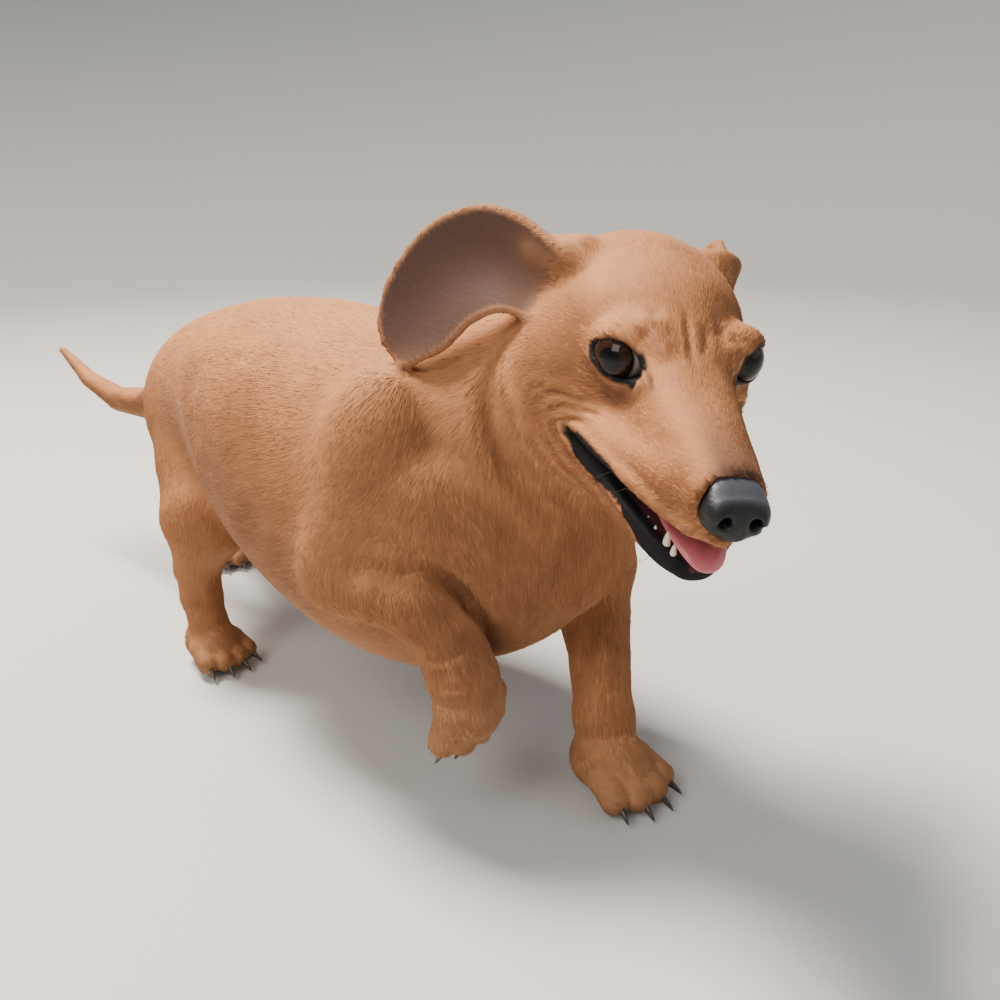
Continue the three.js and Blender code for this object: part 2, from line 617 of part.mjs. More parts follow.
for (const { name, flap, slot } of earLeaves) {
  crown = crown.subtract(slot);
  throat = throat.subtract(slot);
  add(`ear_${name}`, flap, "ear");
}
add("head", crown, "coat");
add("neck", throat, "coat");
for (const side of SIDES) add(`eye_${sideName(side)}`, ball(side, EYE_RADIUS), "eye");

// The tongue lies on the lower jaw, sloping with it, and shows between the lips
const tonguePlace = new THREE.Matrix4().makeRotationY(0.19).setPosition(38, 0.5, -43.4);
const tongueFrame = headFrame.clone().multiply(tonguePlace);
const tongueSolid = (grow) => bowl(v3(0, 0, 0), v3(28.5, 11, 3.4), grow, tongueFrame);

const front = skin(headBox([2, 88], [-36, 36], [-68, 20]), [6.5, 4.6, 4.6]).subtract(mouth);
const upper = pick(ahead(front, ...MUZZLE_CUT), (piece) => piece.boundingBox().max[2]);
const lower = pick(ahead(front, ...JAW_CUT), (piece) => -piece.boundingBox().min[2]);
const tongueRoom = tongueSolid(GAP);
add("muzzle", behind(upper, ...NOSE_CUT).subtract(tongueRoom), "coat");
add("tongue", ahead(tongueSolid(0), ...MUZZLE_CUT), "tongue");

// Lower teeth that show beside the tongue, fused to the jaw: [x, y, tip, radius] of a canine and two
// premolars on each side, each as long as five radii
const TEETH = [[52, 9.5, -43.2, 2], [46, 11, -42.6, 1.6], [41, 12, -41.6, 1.6]];
let bite = lower;
for (const side of SIDES)
  for (const [x, y, tip, radius] of TEETH) {
    const tooth = new THREE.ConeGeometry(radius, 5 * radius, 5).rotateX(Math.PI / 2);
    bite = bite.add(solid(tooth.translate(x, side * y, tip - 2.5 * radius).applyMatrix4(headFrame)));
  }
bite = bite.subtract(tongueRoom);
add("lower_jaw", bite, "coat");

// Nose leather with its nostrils and the slits beside them
const NOSE_Y = 0.6; // the nose sits a little to the dog's left of the muzzle's middle
const noseShape = (p) => {
  const q = p.clone().applyMatrix4(intoHead);
  let d = egg(v3(67.5, NOSE_Y, -22.8), v3(10.2, 9.8, 8.4))(q);
  d = melt(d, egg(v3(71, NOSE_Y, -29), v3(6.6, 6.4, 5.6))(q), 3);
  for (const s of SIDES) {
    const at = (x, y, z) => v3(x, s * y + NOSE_Y, z);
    d = melt(d, egg(at(71.5, 6.4, -25.5), v3(6.4, 4.6, 6))(q), 2);
    const hole = limb([at(81.5, 4.6, -26.4), 2.2], [at(74, 5.2, -26), 2])(q);
    const slit = limb([at(79, 5.4, -27.4), 1.5], [at(76, 9.4, -28.6), 1.1], [at(70, 11.8, -27.2), 0.8])(q);
    d = Math.max(d, -hole, -slit);
  }
  return d * HEAD_SCALE;
};
const noseSkin = skin(headBox([60, 86], [-16, 16], [-40, -6]), [3, 2.7, 2.7], noseShape);
add("nose", ahead(noseSkin, ...NOSE_CUT), "nose");

// Moves the finished dog so that its origin is the bottom centre of its bounding box
const bounds = new THREE.Box3().setFromObject(dog);
const middle = bounds.getCenter(v3(0, 0, 0));
for (const node of dog.children) node.geometry.translate(-middle.x, -middle.y, -bounds.min.z);

export default dog;
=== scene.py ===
"""Looks of a life-size model dachshund: skin, short coat, eyes, nose, mouth, claws, studio and camera."""

import logging
import math
from collections.abc import Callable
from dataclasses import dataclass, field
from enum import IntEnum
from functools import cached_property

import bpy
import numpy as np
from mathutils import Matrix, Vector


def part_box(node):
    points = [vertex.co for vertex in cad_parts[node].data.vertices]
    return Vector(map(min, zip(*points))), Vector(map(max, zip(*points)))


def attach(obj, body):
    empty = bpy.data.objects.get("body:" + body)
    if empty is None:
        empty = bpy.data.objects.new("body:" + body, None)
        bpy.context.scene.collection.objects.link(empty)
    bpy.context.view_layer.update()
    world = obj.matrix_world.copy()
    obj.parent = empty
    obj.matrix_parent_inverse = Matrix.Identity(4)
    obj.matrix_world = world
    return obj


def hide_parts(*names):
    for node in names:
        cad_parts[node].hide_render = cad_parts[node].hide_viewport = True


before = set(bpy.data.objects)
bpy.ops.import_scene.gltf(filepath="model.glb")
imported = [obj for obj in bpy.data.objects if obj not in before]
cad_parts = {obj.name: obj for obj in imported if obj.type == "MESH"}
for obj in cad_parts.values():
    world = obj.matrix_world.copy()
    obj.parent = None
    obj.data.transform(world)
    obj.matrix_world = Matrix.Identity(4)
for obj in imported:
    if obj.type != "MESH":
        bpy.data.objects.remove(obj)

LOG = logging.getLogger("dachshund")
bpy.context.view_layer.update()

Array = np.ndarray
Vec = tuple[float, float, float]
Colour = tuple[float, float, float]
Table = tuple[tuple[float, ...], ...]

# Driving dimensions in millimetres, the same as those of the solids
BODY_LENGTH = 388.0
BACK_HEIGHT = 227.0
CHEST_WIDTH = 164.0
HEAD_SCALE = 1.05
TAIL_LENGTH = 190.0
EYE_RADIUS = 10.4
EAR_THICKNESS = 3.4
BREAST_X = 168.0
TAIL_ROOT_X = BREAST_X - BODY_LENGTH
MM_PER_METRE = 1000
FAR_OFF = 60.0


class Side(IntEnum):
    """A side of the dog, as the sign of Y on it."""

    RIGHT = -1
    LEFT = 1


# Shapes of the implicit body


def melt(a: Array, b: Array, width: float) -> Array:
    """Smooth union: the lesser distance, lowered by a quadratic where the two are within the width.

    Args:
        a: Distances to one shape.
        b: Distances to the other.
        width: How far apart the distances may be and still melt, in millimetres.

    Returns:
        The distances to the melted shape.
    """
    h = np.maximum(width - np.abs(a - b), 0.0) / width
    return np.minimum(a, b) - h * h * width * 0.25


def carve(a: Array, b: Array, width: float) -> Array:
    """Takes shape b out of shape a with an edge rounded over the width."""
    return -melt(-a, b, width)


def smooth_step(low: float, high: float, x: Array) -> Array:
    """Rises from 0 at low to 1 at high by the cubic 3t² - 2t³."""
    t = np.clip((x - low) / (high - low), 0.0, 1.0)
    return t * t * (3.0 - 2.0 * t)


def bell(p: Array, middle: Vec, widths: Vec) -> Array:
    """1 at the middle, falling off as exp(-r²), where r is the distance with each axis over its width."""
    return np.exp(-(((p - np.array(middle)) / widths) ** 2).sum(1))


def unit(v: Array) -> Array:
    """Vectors scaled to length one."""
    return v / np.maximum(np.linalg.norm(v, axis=-1, keepdims=True), 1e-9)


def looking(way: Array, up: Array) -> Array:
    """The axes of something that looks along a way: rows across it, up and along the way."""
    y = unit(up - way * (up @ way))
    return np.array([np.cross(y, way), y, way])


def within(p: Array, points: Array, margin: float) -> Array:
    """Which p lie in the box round the points, widened by the margin."""
    flat = points.reshape(-1, 3)
    return ((p > flat.min(0) - margin) & (p < flat.max(0) + margin)).all(1)


@dataclass(frozen=True)
class Egg:
    """An ellipsoid turned by an angle about Z."""

    centre: Vec
    radii: Vec
    angle: float = 0.0

    def distance(self, p: Array) -> Array:
        """Scaled-space distance k0 (k0 - 1) / k1, which is close to true near the surface.

        Args:
            p: Points of the egg's space.

        Returns:
            The distances.
        """
        cos, sin = math.cos(self.angle), math.sin(self.angle)
        dx, dy = p[:, 0] - self.centre[0], p[:, 1] - self.centre[1]
        x = (dx * cos + dy * sin) / self.radii[0]
        y = (dy * cos - dx * sin) / self.radii[1]
        z = (p[:, 2] - self.centre[2]) / self.radii[2]
        k0 = np.sqrt(x * x + y * y + z * z)
        k1 = np.sqrt((x / self.radii[0]) ** 2 + (y / self.radii[1]) ** 2 + (z / self.radii[2]) ** 2)
        return k0 * (k0 - 1.0) / np.maximum(k1, 1e-9)


@dataclass(frozen=True)
class Limb:
    """A chain of tapering round rods through (point, radius) stations."""

    stations: tuple[tuple[Vec, float], ...]

    def distance(self, p: Array) -> Array:
        """The least, over the rods, of the distance to the axis less the radius there.

        Args:
            p: Points of the limb's space.

        Returns:
            The distances.
        """
        best = np.full(len(p), np.inf)
        for (a, ra), (b, rb) in zip(self.stations, self.stations[1:]):
            start, along = np.array(a), np.subtract(b, a)
            rel = p - start
            t = np.clip(rel @ along / (along @ along), 0.0, 1.0)
            off = rel - t[:, None] * along
            best = np.minimum(best, np.sqrt(np.einsum("ij,ij->i", off, off)) - (ra + (rb - ra) * t))
        return best

    @property
    def way(self) -> Array:
        """The unit vector from the first station to the last."""
        return unit(np.subtract(self.stations[-1][0], self.stations[0][0]))


def limb(*stations: tuple[Vec, float]) -> Limb:
    """A limb through the given stations."""
    return Limb(tuple(stations))


@dataclass(frozen=True)
class Barrel:
    """A barrel along X through (x, top, bottom, half width, fullness) stations, with round caps."""

    stations: Table
    cap: float
    middle: float = 0.0

    def profile(self, x: Array) -> Array:
        """A Hermite cubic through the stations, with free ends.

        Args:
            x: Places along the barrel.

        Returns:
            Top, bottom, half width and fullness at each place, one row each.
        """
        table = np.array(self.stations)
        xs, values = table[:, 0], table[:, 1:]
        last = len(xs) - 1
        x = np.clip(x, xs[0], xs[-1])
        i1 = np.clip(np.searchsorted(xs, x, side="right"), 1, last)
        i0 = i1 - 1
        before = np.where(i0 == 0, i1, i0 - 1)
        after = np.where(i1 == last, i0, np.minimum(i1 + 1, last))
        half = (xs[i1] - xs[i0]) / 2.0
        wp = half / (xs[i0] - xs[before])
        wn = half / (xs[after] - xs[i1])
        t = (x - xs[i0]) / (xs[i1] - xs[i0])
        t2, t3 = t * t, t * t * t
        sp = -wp * t3 + 2 * wp * t2 - wp * t
        s0 = (1 + wp) * t3 + (-1.5 - 2 * wp) * t2 + (-0.5 + wp) * t + 1
        s1 = (-1 - wn) * t3 + (1.5 + wn) * t2 + 0.5 * t
        sn = wn * t3 - wn * t2
        weights = ((sp, before), (s0, i0), (s1, i1), (sn, after))
        return sum(w[:, None] * values[i] for w, i in weights)

    def distance(self, p: Array) -> Array:
        """How far p is outside the superellipse of its section, scaled to millimetres.

        Args:
            p: Points of the barrel's space.

        Returns:
            The distances.
        """
        top, bottom, half, power = self.profile(p[:, 0]).T
        first, last = self.stations[0][0], self.stations[-1][0]
        beyond = np.maximum(np.maximum(first - p[:, 0], p[:, 0] - last), 0.0)
        tall = (top - bottom) / 2.0
        y = p[:, 1] - self.middle
        z = p[:, 2] - (top + bottom) / 2.0
        q = (np.abs(y) / half) ** power + (np.abs(z) / tall) ** power
        q = np.maximum(np.hypot(q ** (1.0 / power), beyond / self.cap), 1e-6)
        return np.sqrt(y * y + z * z + beyond * beyond) * (1.0 - 1.0 / q) - 1e-6


Shape = Egg | Limb | Barrel
Flow = Callable[[Array], Array]


@dataclass(frozen=True)
class Hair:
    """How the coat grows on one region: millimetres, and tufts per square millimetre."""

    length: float
    width: float
    lift: float
    density: float
    depth: float


@dataclass(frozen=True)
class Region:
    """A named region of flesh: masses with the width that each melts over, its coat, and where it is."""

    name: str
    masses: tuple[tuple[Shape, float], ...]
    hair: Hair
    centre: Vec
    reach: float
    flow: Flow

    def near(self, p: Array, margin: float = 45.0) -> Array:
        """Which points are close enough for this region to count."""
        rel = p - np.array(self.centre)
        return np.einsum("ij,ij->i", rel, rel) < (self.reach + margin) ** 2

    def melted_onto(self, d: Array, p: Array) -> Array:
        """Melts this region's masses, each shrunk by the coat's depth, onto what is there.

        Args:
            d: The distances so far, which change where this region is near.
            p: The points they are for.

        Returns:
            The distances with this region melted on.
        """
        close = self.near(p)
        q, e = p[close], d[close]
        for shape, width in self.masses:
            e = melt(e, shape.distance(q) + self.hair.depth, width)
        d[close] = e
        return d

    def distance(self, p: Array) -> Array:
        """Distance to this region alone, and FAR_OFF where it isn't near.

        Args:
            p: Points of the body's space.

        Returns:
            The distances.
        """
        d = np.full(len(p), FAR_OFF)
        close = self.near(p)
        q = p[close]
        d[close] = np.min([shape.distance(q) for shape, _ in self.masses], axis=0)
        return d


# The head's own frame: origin between the eyes, X along the muzzle, Y to its left, Z up


@dataclass(frozen=True)
class Frame:
    """A turned and scaled frame in the body's space, from yaw, pitch and roll in degrees."""

    origin: Vec
    yaw: float
    pitch: float
    roll: float
    scale: float

    @cached_property
    def turn(self) -> Array:
        """The rotation Rz(yaw) Ry(pitch) Rx(roll)."""
        turns = []
        for degrees, axis in (self.yaw, 2), (self.pitch, 1), (self.roll, 0):
            a, b = (axis + 1) % 3, (axis + 2) % 3
            cos, sin = math.cos(math.radians(degrees)), math.sin(math.radians(degrees))
            turn = np.eye(3)
            turn[a, a], turn[a, b], turn[b, a], turn[b, b] = cos, -sin, sin, cos
            turns.append(turn)
        return turns[0] @ turns[1] @ turns[2]

    def place(self, p: Array) -> Array:
        """Points of this frame in the body's space."""
        return np.atleast_2d(p) * self.scale @ self.turn.T + np.array(self.origin)

    def inside(self, p: Array) -> Array:
        """Points of the body's space in this frame."""
        return (p - np.array(self.origin)) @ self.turn / self.scale

    def way(self, v: Vec) -> Array:
        """A direction of this frame in the body's space."""
        return unit(self.turn @ np.array(v, float))


HEAD = Frame((207.7, -7.4, 229.6), -34.5, 9.4, -7.9, HEAD_SCALE)


def steady(*way: float) -> Flow:
    """A flow that is the same everywhere."""
    return lambda p: np.broadcast_to(unit(np.array(way, float)), p.shape)


def trunk_flow(p: Array) -> Array:
    """Backwards and a little down on the flanks, turning to straight down over the breast."""
    front = smooth_step(85.0, 160.0, p[:, 0])[:, None]
    return (1 - front) * np.array([-1.0, 0.0, -0.38]) + front * np.array([-0.25, 0.0, -1.0])


TORSO = Barrel(
    (
        (TAIL_ROOT_X + 6, 160, 132, 13, 2),
        (-192, 181, 120, 26, 2),
        (-160, 199, 114, 38, 2.1),
        (-125, 214, 111, 50, 2.2),
        (-85, 224, 105, 63, 2.2),
        (-45, BACK_HEIGHT, 83, 76, 2.2),
        (0, 225, 62, CHEST_WIDTH / 2, 2.2),
        (40, 220, 49, CHEST_WIDTH / 2 - 2, 2.1),
        (75, 215, 50, 72, 2.1),
        (105, 206, 63, 59, 2.1),
        (132, 190, 80, 48, 2.1),
        (150, 170, 97, 37, 2),
        (BREAST_X - 7, 154, 111, 26, 2),
    ),
    3,
)
BREAST = Egg((BREAST_X - 23, 0, 132.5), (23.7, 36, 31))
NECK = limb(((62, 0, 150), 66), ((146, 20, 200), 50))
TAIL = limb(
    ((TAIL_ROOT_X + 16, 0, 150), 18),
    ((TAIL_ROOT_X - 30, 0, 134), 12),
    ((TAIL_ROOT_X - 80, 0, 129), 9.5),
    ((TAIL_ROOT_X - 130, 0, 137), 7),
    ((TAIL_ROOT_X - TAIL_LENGTH + 18, 0, 154), 3.5),
)


def leg(name: str, masses: tuple[tuple[Shape, float], ...], centre: Vec, reach: float) -> Region:
    """A leg, whose hair runs down it from the body to the paw.

    Args:
        name: The region's name.
        masses: Shapes with the width that each melts over, of which the limbs lead the hair.
        centre: The middle of the leg.
        reach: How far from the middle it reaches.

    Returns:
        The region.
    """
    rods = [shape for shape, _ in masses if isinstance(shape, Limb)]
    ways = np.array([rod.way for rod in rods])
    roots = np.array([np.mean([rod.stations[0][0], rod.stations[-1][0]], axis=0) for rod in rods])

    def flow(p: Array) -> Array:
        """Each rod's own way, weighted by the inverse square distance to its middle.

        Args:
            p: Points of the body's space.

        Returns:
            The ways that the hair runs there.
        """
        far = ((p[:, None, :] - roots) ** 2).sum(-1) + 25.0
        weight = 1.0 / far
        return (weight[..., None] * ways).sum(1) / weight.sum(1, keepdims=True) + np.array([-0.25, 0, 0])

    hair = Hair(length=6.2, width=0.40, lift=0.075, density=1.1, depth=1.4)
    return Region(name, masses, hair, centre, reach, flow)


LEGS = (
    leg("right_foreleg", (
        (Egg((84, -48, 162), (36, 32, 54)), 11),
        (limb(((82, -53, 154), 26), ((70, -61, 128), 25.5)), 9),
        (limb(((110, -44, 150), 26), ((84, -56, 134), 25)), 14),
        (limb(((114, -50, 160), 15), ((130, -40, 146), 15), ((138, -26, 122), 14)), 14),
        (limb(((64, -67, 117), 18.5), ((98, -66, 120), 18), ((115, -60, 116), 17)), 5),
        (limb(((115, -60, 116), 17), ((124, -54, 103), 17), ((128, -50, 84), 17)), 5),
    ), (95, -52, 130), 92),
    leg("left_foreleg", (
        (Egg((88, 48, 162), (36, 32, 54)), 11),
        (limb(((114, 46, 150), 28), ((112, 57, 104), 25)), 14),
        (limb(((114, 54, 92), 24), ((136, 37, 66), 17), ((149, 26, 36), 15)), 9),
        (limb(((149, 26, 36), 15), ((156, 23, 18), 15)), 6),
    ), (115, 42, 105), 118),
    leg("right_hindleg", (
        (Egg((-124, -18, 148), (46, 29, 48), 0.35), 26),
        (limb(((-116, -32, 122), 30), ((-100, -41, 104), 29)), 16),
        (limb(((-102, -45, 92), 24), ((-110, -49, 66), 16), ((-109, -50, 48), 12.5)), 12),
        (limb(((-109, -50, 46), 12.5), ((-104, -49, 18), 13.5)), 6),
    ), (-115, -35, 105), 105),
    leg("left_hindleg", (
        (Egg((-130, 22, 150), (50, 32, 50), -0.35), 26),
        (limb(((-140, 36, 126), 34), ((-158, 42, 106), 30)), 16),
        (limb(((-164, 44, 98), 26), ((-212, 48, 72), 17), ((-244, 49, 56), 13)), 12),
        (limb(((-248, 49, 56), 13), ((-252, 47, 20), 14.5)), 6),
    ), (-185, 38, 105), 125),
)


# The four toes' places across a paw, in steps between neighbours
TOES = (-1.5, -0.5, 0.5, 1.5)


@dataclass(frozen=True)
class Paw:
    """A paw: a palm and four toes spread along the heading, its pads turned to the way pads."""

    name: str
    centre: Vec
    heading: Vec
    pads: Vec
    size: float

    @cached_property
    def axes(self) -> Array:
        """Rows: along the toes, across them, and away from the pads."""
        x = unit(np.array(self.heading, float))
        z = -np.array(self.pads, float)
        z = unit(z - x * (z @ x))
        return np.array([x, np.cross(z, x), z])

    def at(self, a: float, b: float, c: float) -> Vec:
        """The place a along, b across and c up from the paw's centre, in its own size."""
        return tuple(np.array(self.centre) + self.size * np.array([a, b, c]) @ self.axes)

    @property
    def toes(self) -> list[tuple[Vec, Vec, Vec]]:
        """Root, tip and a point ahead of each of the four toes."""
        return [
            (self.at(2, n * 7, 3), self.at(15 if abs(n) > 1 else 20, n * 9.5, -3), self.at(40, n * 14, -10))
            for n in TOES
        ]

    @property
    def pad_places(self) -> list[tuple[Vec, float]]:
        """Centre and radius of the palm pad's three lobes and of each toe's pad."""
        palm = [(self.at(-3, n * 5.5, -10.5 if n else -11), 5.6 * self.size) for n in (-1, 0, 1)]
        toes = [(self.at(11.5 if abs(n) > 1 else 16, n * 9.0, -8.2), 4.3 * self.size) for n in TOES]
        return palm + toes

    def region(self) -> Region:
        """The paw as a region of flesh."""
        s = self.size
        palm = limb((self.at(-8, 0, 2), 15.5 * s), (self.at(5, 0, 0), 16 * s))
        toes = [(limb((root, 8.5 * s), (tip, 7.6 * s)), 2.4) for root, tip, _ in self.toes]
        masses = [(palm, 6.0)] + toes
        hair = Hair(length=3.6, width=0.34, lift=0.07, density=1.6, depth=0.8)
        return Region(self.name, tuple(masses), hair, self.centre, 42 * s, steady(*self.axes[0]))


PAWS = (
    Paw("right_forepaw", (126, -45, 67), (0.1, 0.12, -1), (-1, 0, -0.2), 1.05),
    Paw("left_forepaw", (160, 21, 13), (1, -0.1, 0), (0, 0, -1), 1.05),
    Paw("right_hindpaw", (-104, -48, 12), (1, 0.02, 0), (0, 0, -1), 0.92),
    Paw("left_hindpaw", (-246, 46, 12), (1, 0.02, 0), (0, 0, -1), 0.98),
)


def eye_spot(side: Side) -> Array:
    """The eyeball's centre in the head's frame."""
    return np.array([-1.2, side * 21.2 + 2.6, -1.4 + side * 1.3])


def lip_roll(s: Side, side_line: tuple[Vec, ...]) -> Limb:
    """One side of a lip's rounded edge through points given for the dog's left."""
    return limb(*(((x, s * y, z), radius) for (x, y, z), radius in zip(side_line, ROLL_RADII)))


UPPER_ROLL = (
    (-4, 30, -33), (18, 26, -32.6), (38, 20.5, -32.8), (52, 15, -34.2), (63, 8.5, -36.2), (68.5, 0, -36),
)
LOWER_ROLL = (
    (-4, 28, -41), (18, 23, -42.5), (35, 18, -45.6), (47, 13, -48.4), (55, 6.5, -50), (58.5, -1, -50),
)
ROLL_RADII = (2.0, 2.8, 3.3, 3.5, 3.2, 2.8)
SKULL = Barrel(
    (
        (-86, 20, -22, 24, 2),
        (-72, 25, -36, 34, 2.1),
        (-52, 31, -44, 38, 2),
        (-30, 31, -47, 39, 2),
        (-12, 25.5, -45, 33, 2.1),
        (4, 15, -42, 23.5, 2.2),
        (18, 6, -39, 19.5, 2.3),
        (36, -2.5, -37, 17.0, 2.4),
        (54, -8.6, -36, 14.5, 2.4),
        (68, -14, -34.5, 12.5, 2.3),
        (74, -18, -33, 10, 2.1),
    ),
    4,
)
JAW = Barrel(
    (
        (-34, -34, -60, 29, 2.2),
        (-10, -34, -60, 29, 2.2),
        (15, -36.5, -59, 24, 2.2),
        (38, -40.5, -59.5, 16.5, 2.2),
        (52, -43, -59.5, 12.5, 2.1),
        (58, -45.5, -58.5, 9, 2),
    ),
    4.5,
    -1.2,
)


def head_masses() -> list[tuple[Shape, float]]:
    """The head's masses in its own frame, each with its melting width.

    Each side has a cheek, an orbit, a brow, the flews, an ear's root and both lips. The right brow is
    raised, and the left one is lower and flatter.

    Returns:
        The masses, of which the skull and the jaw are first.
    """
    masses: list[tuple[Shape, float]] = [(SKULL, 1.0), (JAW, 5.0)]
    for s in Side:
        spot = eye_spot(s)
        x, y, z = spot
        rise, r = (12.0, 3.2) if s is Side.RIGHT else (6.0, 2.0)
        brow = limb(
            ((x - 5, y + s * 5, z + 0.54 * rise), 1.6),
            ((x + 1, y + s * 1, z + 0.88 * rise), r),
            ((x + 8, y - s * 5, z + rise), r),
            ((x + 13, y - s * 8, z + 0.67 * rise), 2.0),
        )
        masses += [
            (Egg((-36, s * 32, -24), (25, 13, 22)), 12.0),
            (Egg(tuple(spot), (11.2, 11.2, 11.2)), 6.0),
            (brow, 9.0 if s is Side.RIGHT else 12.0),
            (limb(((-12, s * 22, -34), 9.5), ((12, s * 19.5, -32), 9), ((50, s * 9.5, -27), 8)), 8.0),
            (limb(((-44, s * 28, 20), 8.5), ((-60, s * 40, 18), 5.5)), 8.0),
            (lip_roll(s, UPPER_ROLL), 3.0),
            (lip_roll(s, LOWER_ROLL), 3.0),
        ]
    return masses


# Ears


def rounded_curve(points: Array, t: Array) -> Array:
    """A centripetal Catmull-Rom curve through the points.

    Args:
        points: The points, one row each.
        t: Parameters from 0 at the first point to 1 at the last.

    Returns:
        The curve's places, one row each.
    """
    count = len(points)
    ends = np.vstack([2 * points[0] - points[1], points, 2 * points[-1] - points[-2]])
    place = np.clip(t, 0, 1) * (count - 1)
    i = np.minimum(place.astype(int), count - 2)
    w = (place - i)[:, None]
    p0, p1, p2, p3 = (ends[i + k] for k in range(4))
    pairs = ((p0, p1), (p1, p2), (p2, p3))
    gaps = (np.sqrt(np.linalg.norm(b - a, axis=1, keepdims=True)) for a, b in pairs)
    d0, d1, d2 = (np.maximum(gap, 1e-4) for gap in gaps)
    t1 = ((p1 - p0) / d0 - (p2 - p0) / (d0 + d1) + (p2 - p1) / d1) * d1
    t2 = ((p2 - p1) / d1 - (p3 - p1) / (d1 + d2) + (p3 - p2) / d2) * d1
    c2 = -3 * p1 + 3 * p2 - 2 * t1 - t2
    c3 = 2 * p1 - 2 * p2 + t1 + t2
    return p1 + w * (t1 + w * (c2 + w * c3))


@dataclass(frozen=True)
class Ear:
    """A flipped-back ear: a leaf between its front and rear edges that meet at the tip, cupped inwards."""

    name: str
    side: Side
    front: tuple[Vec, ...]
    rear: tuple[Vec, ...]
    tip: Vec
    cup: Vec
    inset: float = 0.015
    rows: int = 73
    columns: int = 33
    rim: float = 1.6

    def mirrored(self, edge: tuple[Vec, ...]) -> Array:
        """An edge with the tip added, on this ear's side of the head, in the body's space."""
        points = np.array([*edge, self.tip], float) * np.array([1, self.side, 1])
        return HEAD.place(points)

    @cached_property
    def sheet(self) -> Array:
        """The middle surface: rulings between the edges, moved by the cup times sin(pi v) (1 - u)^0.8."""
        u = np.linspace(0, 1, self.rows)
        v = np.linspace(0, 1, self.columns)
        a = rounded_curve(self.mirrored(self.front), u)
        b = rounded_curve(self.mirrored(self.rear), u)
        hollow = HEAD.way((self.cup[0], self.side * self.cup[1], self.cup[2])) * np.linalg.norm(self.cup)
        swell = np.sin(math.pi * v)[None, :, None] * ((1 - u) ** 0.8)[:, None, None]
        return a[:, None] * (1 - v)[None, :, None] + b[:, None] * v[None, :, None] + hollow * swell

    @cached_property
    def slopes(self) -> tuple[Array, Array]:
        """The middle surface's derivatives along u and along v."""
        du, dv = np.gradient(self.sheet, axis=(0, 1))
        return du * (self.rows - 1), dv * (self.columns - 1)

    def lookup(self, grid: Array, u: Array, v: Array) -> Array:
        """A grid's values by bilinear weights.

        Args:
            grid: Values at the rows and columns of the middle surface.
            u: Places from root to tip, 0 to 1.
            v: Places from the front edge to the rear one, 0 to 1.

        Returns:
            The values there, one row each.
        """
        x, y = u * (self.rows - 1), v * (self.columns - 1)
        i = np.minimum(x.astype(int), self.rows - 2)
        j = np.minimum(y.astype(int), self.columns - 2)
        fx, fy = (x - i)[:, None], (y - j)[:, None]
        low = grid[i, j] * (1 - fy) + grid[i, j + 1] * fy
        high = grid[i + 1, j] * (1 - fy) + grid[i + 1, j + 1] * fy
        return low * (1 - fx) + high * fx

    def nearest(self, p: Array) -> tuple[Array, Array, Array]:
        """The parameters and place of the middle surface's point nearest to each p.

        Starts at the nearest of a coarse set of samples and takes Gauss-Newton steps in (u, v).

        Args:
            p: Points in the body's space.

        Returns:
            u, v and the nearest points.
        """
        down, across = 6, 4
        samples = self.sheet[::down, ::across]
        flat = samples.reshape(-1, 3)
        best = np.argmin((flat ** 2).sum(1) - 2 * p @ flat.T, axis=1)
        u = (best // samples.shape[1]) * down / (self.rows - 1)
        v = (best % samples.shape[1]) * across / (self.columns - 1)
        du, dv = self.slopes
        for _ in range(5):
            rel = p - self.lookup(self.sheet, u, v)
            su, sv = self.lookup(du, u, v), self.lookup(dv, u, v)
            uu, vv, uv = (su * su).sum(1) + 4.0, (sv * sv).sum(1) + 4.0, (su * sv).sum(1)
            ru, rv = (su * rel).sum(1), (sv * rel).sum(1)
            det = np.maximum(uu * vv - uv * uv, 1e-3)
            u = np.clip(u + (vv * ru - uv * rv) / det, 0, 1 - self.inset)
            v = np.clip(v + (uu * rv - uv * ru) / det, self.inset, 1 - self.inset)
        return u, v, self.lookup(self.sheet, u, v)

    def half_thickness(self, u: Array, v: Array) -> Array:
        """Half the ear's thickness: fullest at the root and along the middle, thin at the rim."""
        middle = np.sqrt(np.clip(4 * v * (1 - v), 0, 1)) * (1 - 0.3 * u)
        return self.rim + (0.5 * EAR_THICKNESS - self.rim) * middle

    def normal(self, u: Array, v: Array) -> Array:
        """The middle surface's normal, away from the head's side of the ear."""
        du, dv = (self.lookup(slope, u, v) for slope in self.slopes)
        return unit(np.cross(du, dv)) * self.side

    def distance(self, p: Array) -> Array:
        """Distance to the nearest point of the middle surface less half the thickness there.

        Args:
            p: Points of the body's space.

        Returns:
            The distances, 12 mm where the ear is far off.
        """
        far = 12.0
        close = within(p, self.sheet, far)
        d = np.full(len(p), far)
        if close.any():
            u, v, s = self.nearest(p[close])
            d[close] = np.linalg.norm(p[close] - s, axis=1) - self.half_thickness(u, v)
        return d


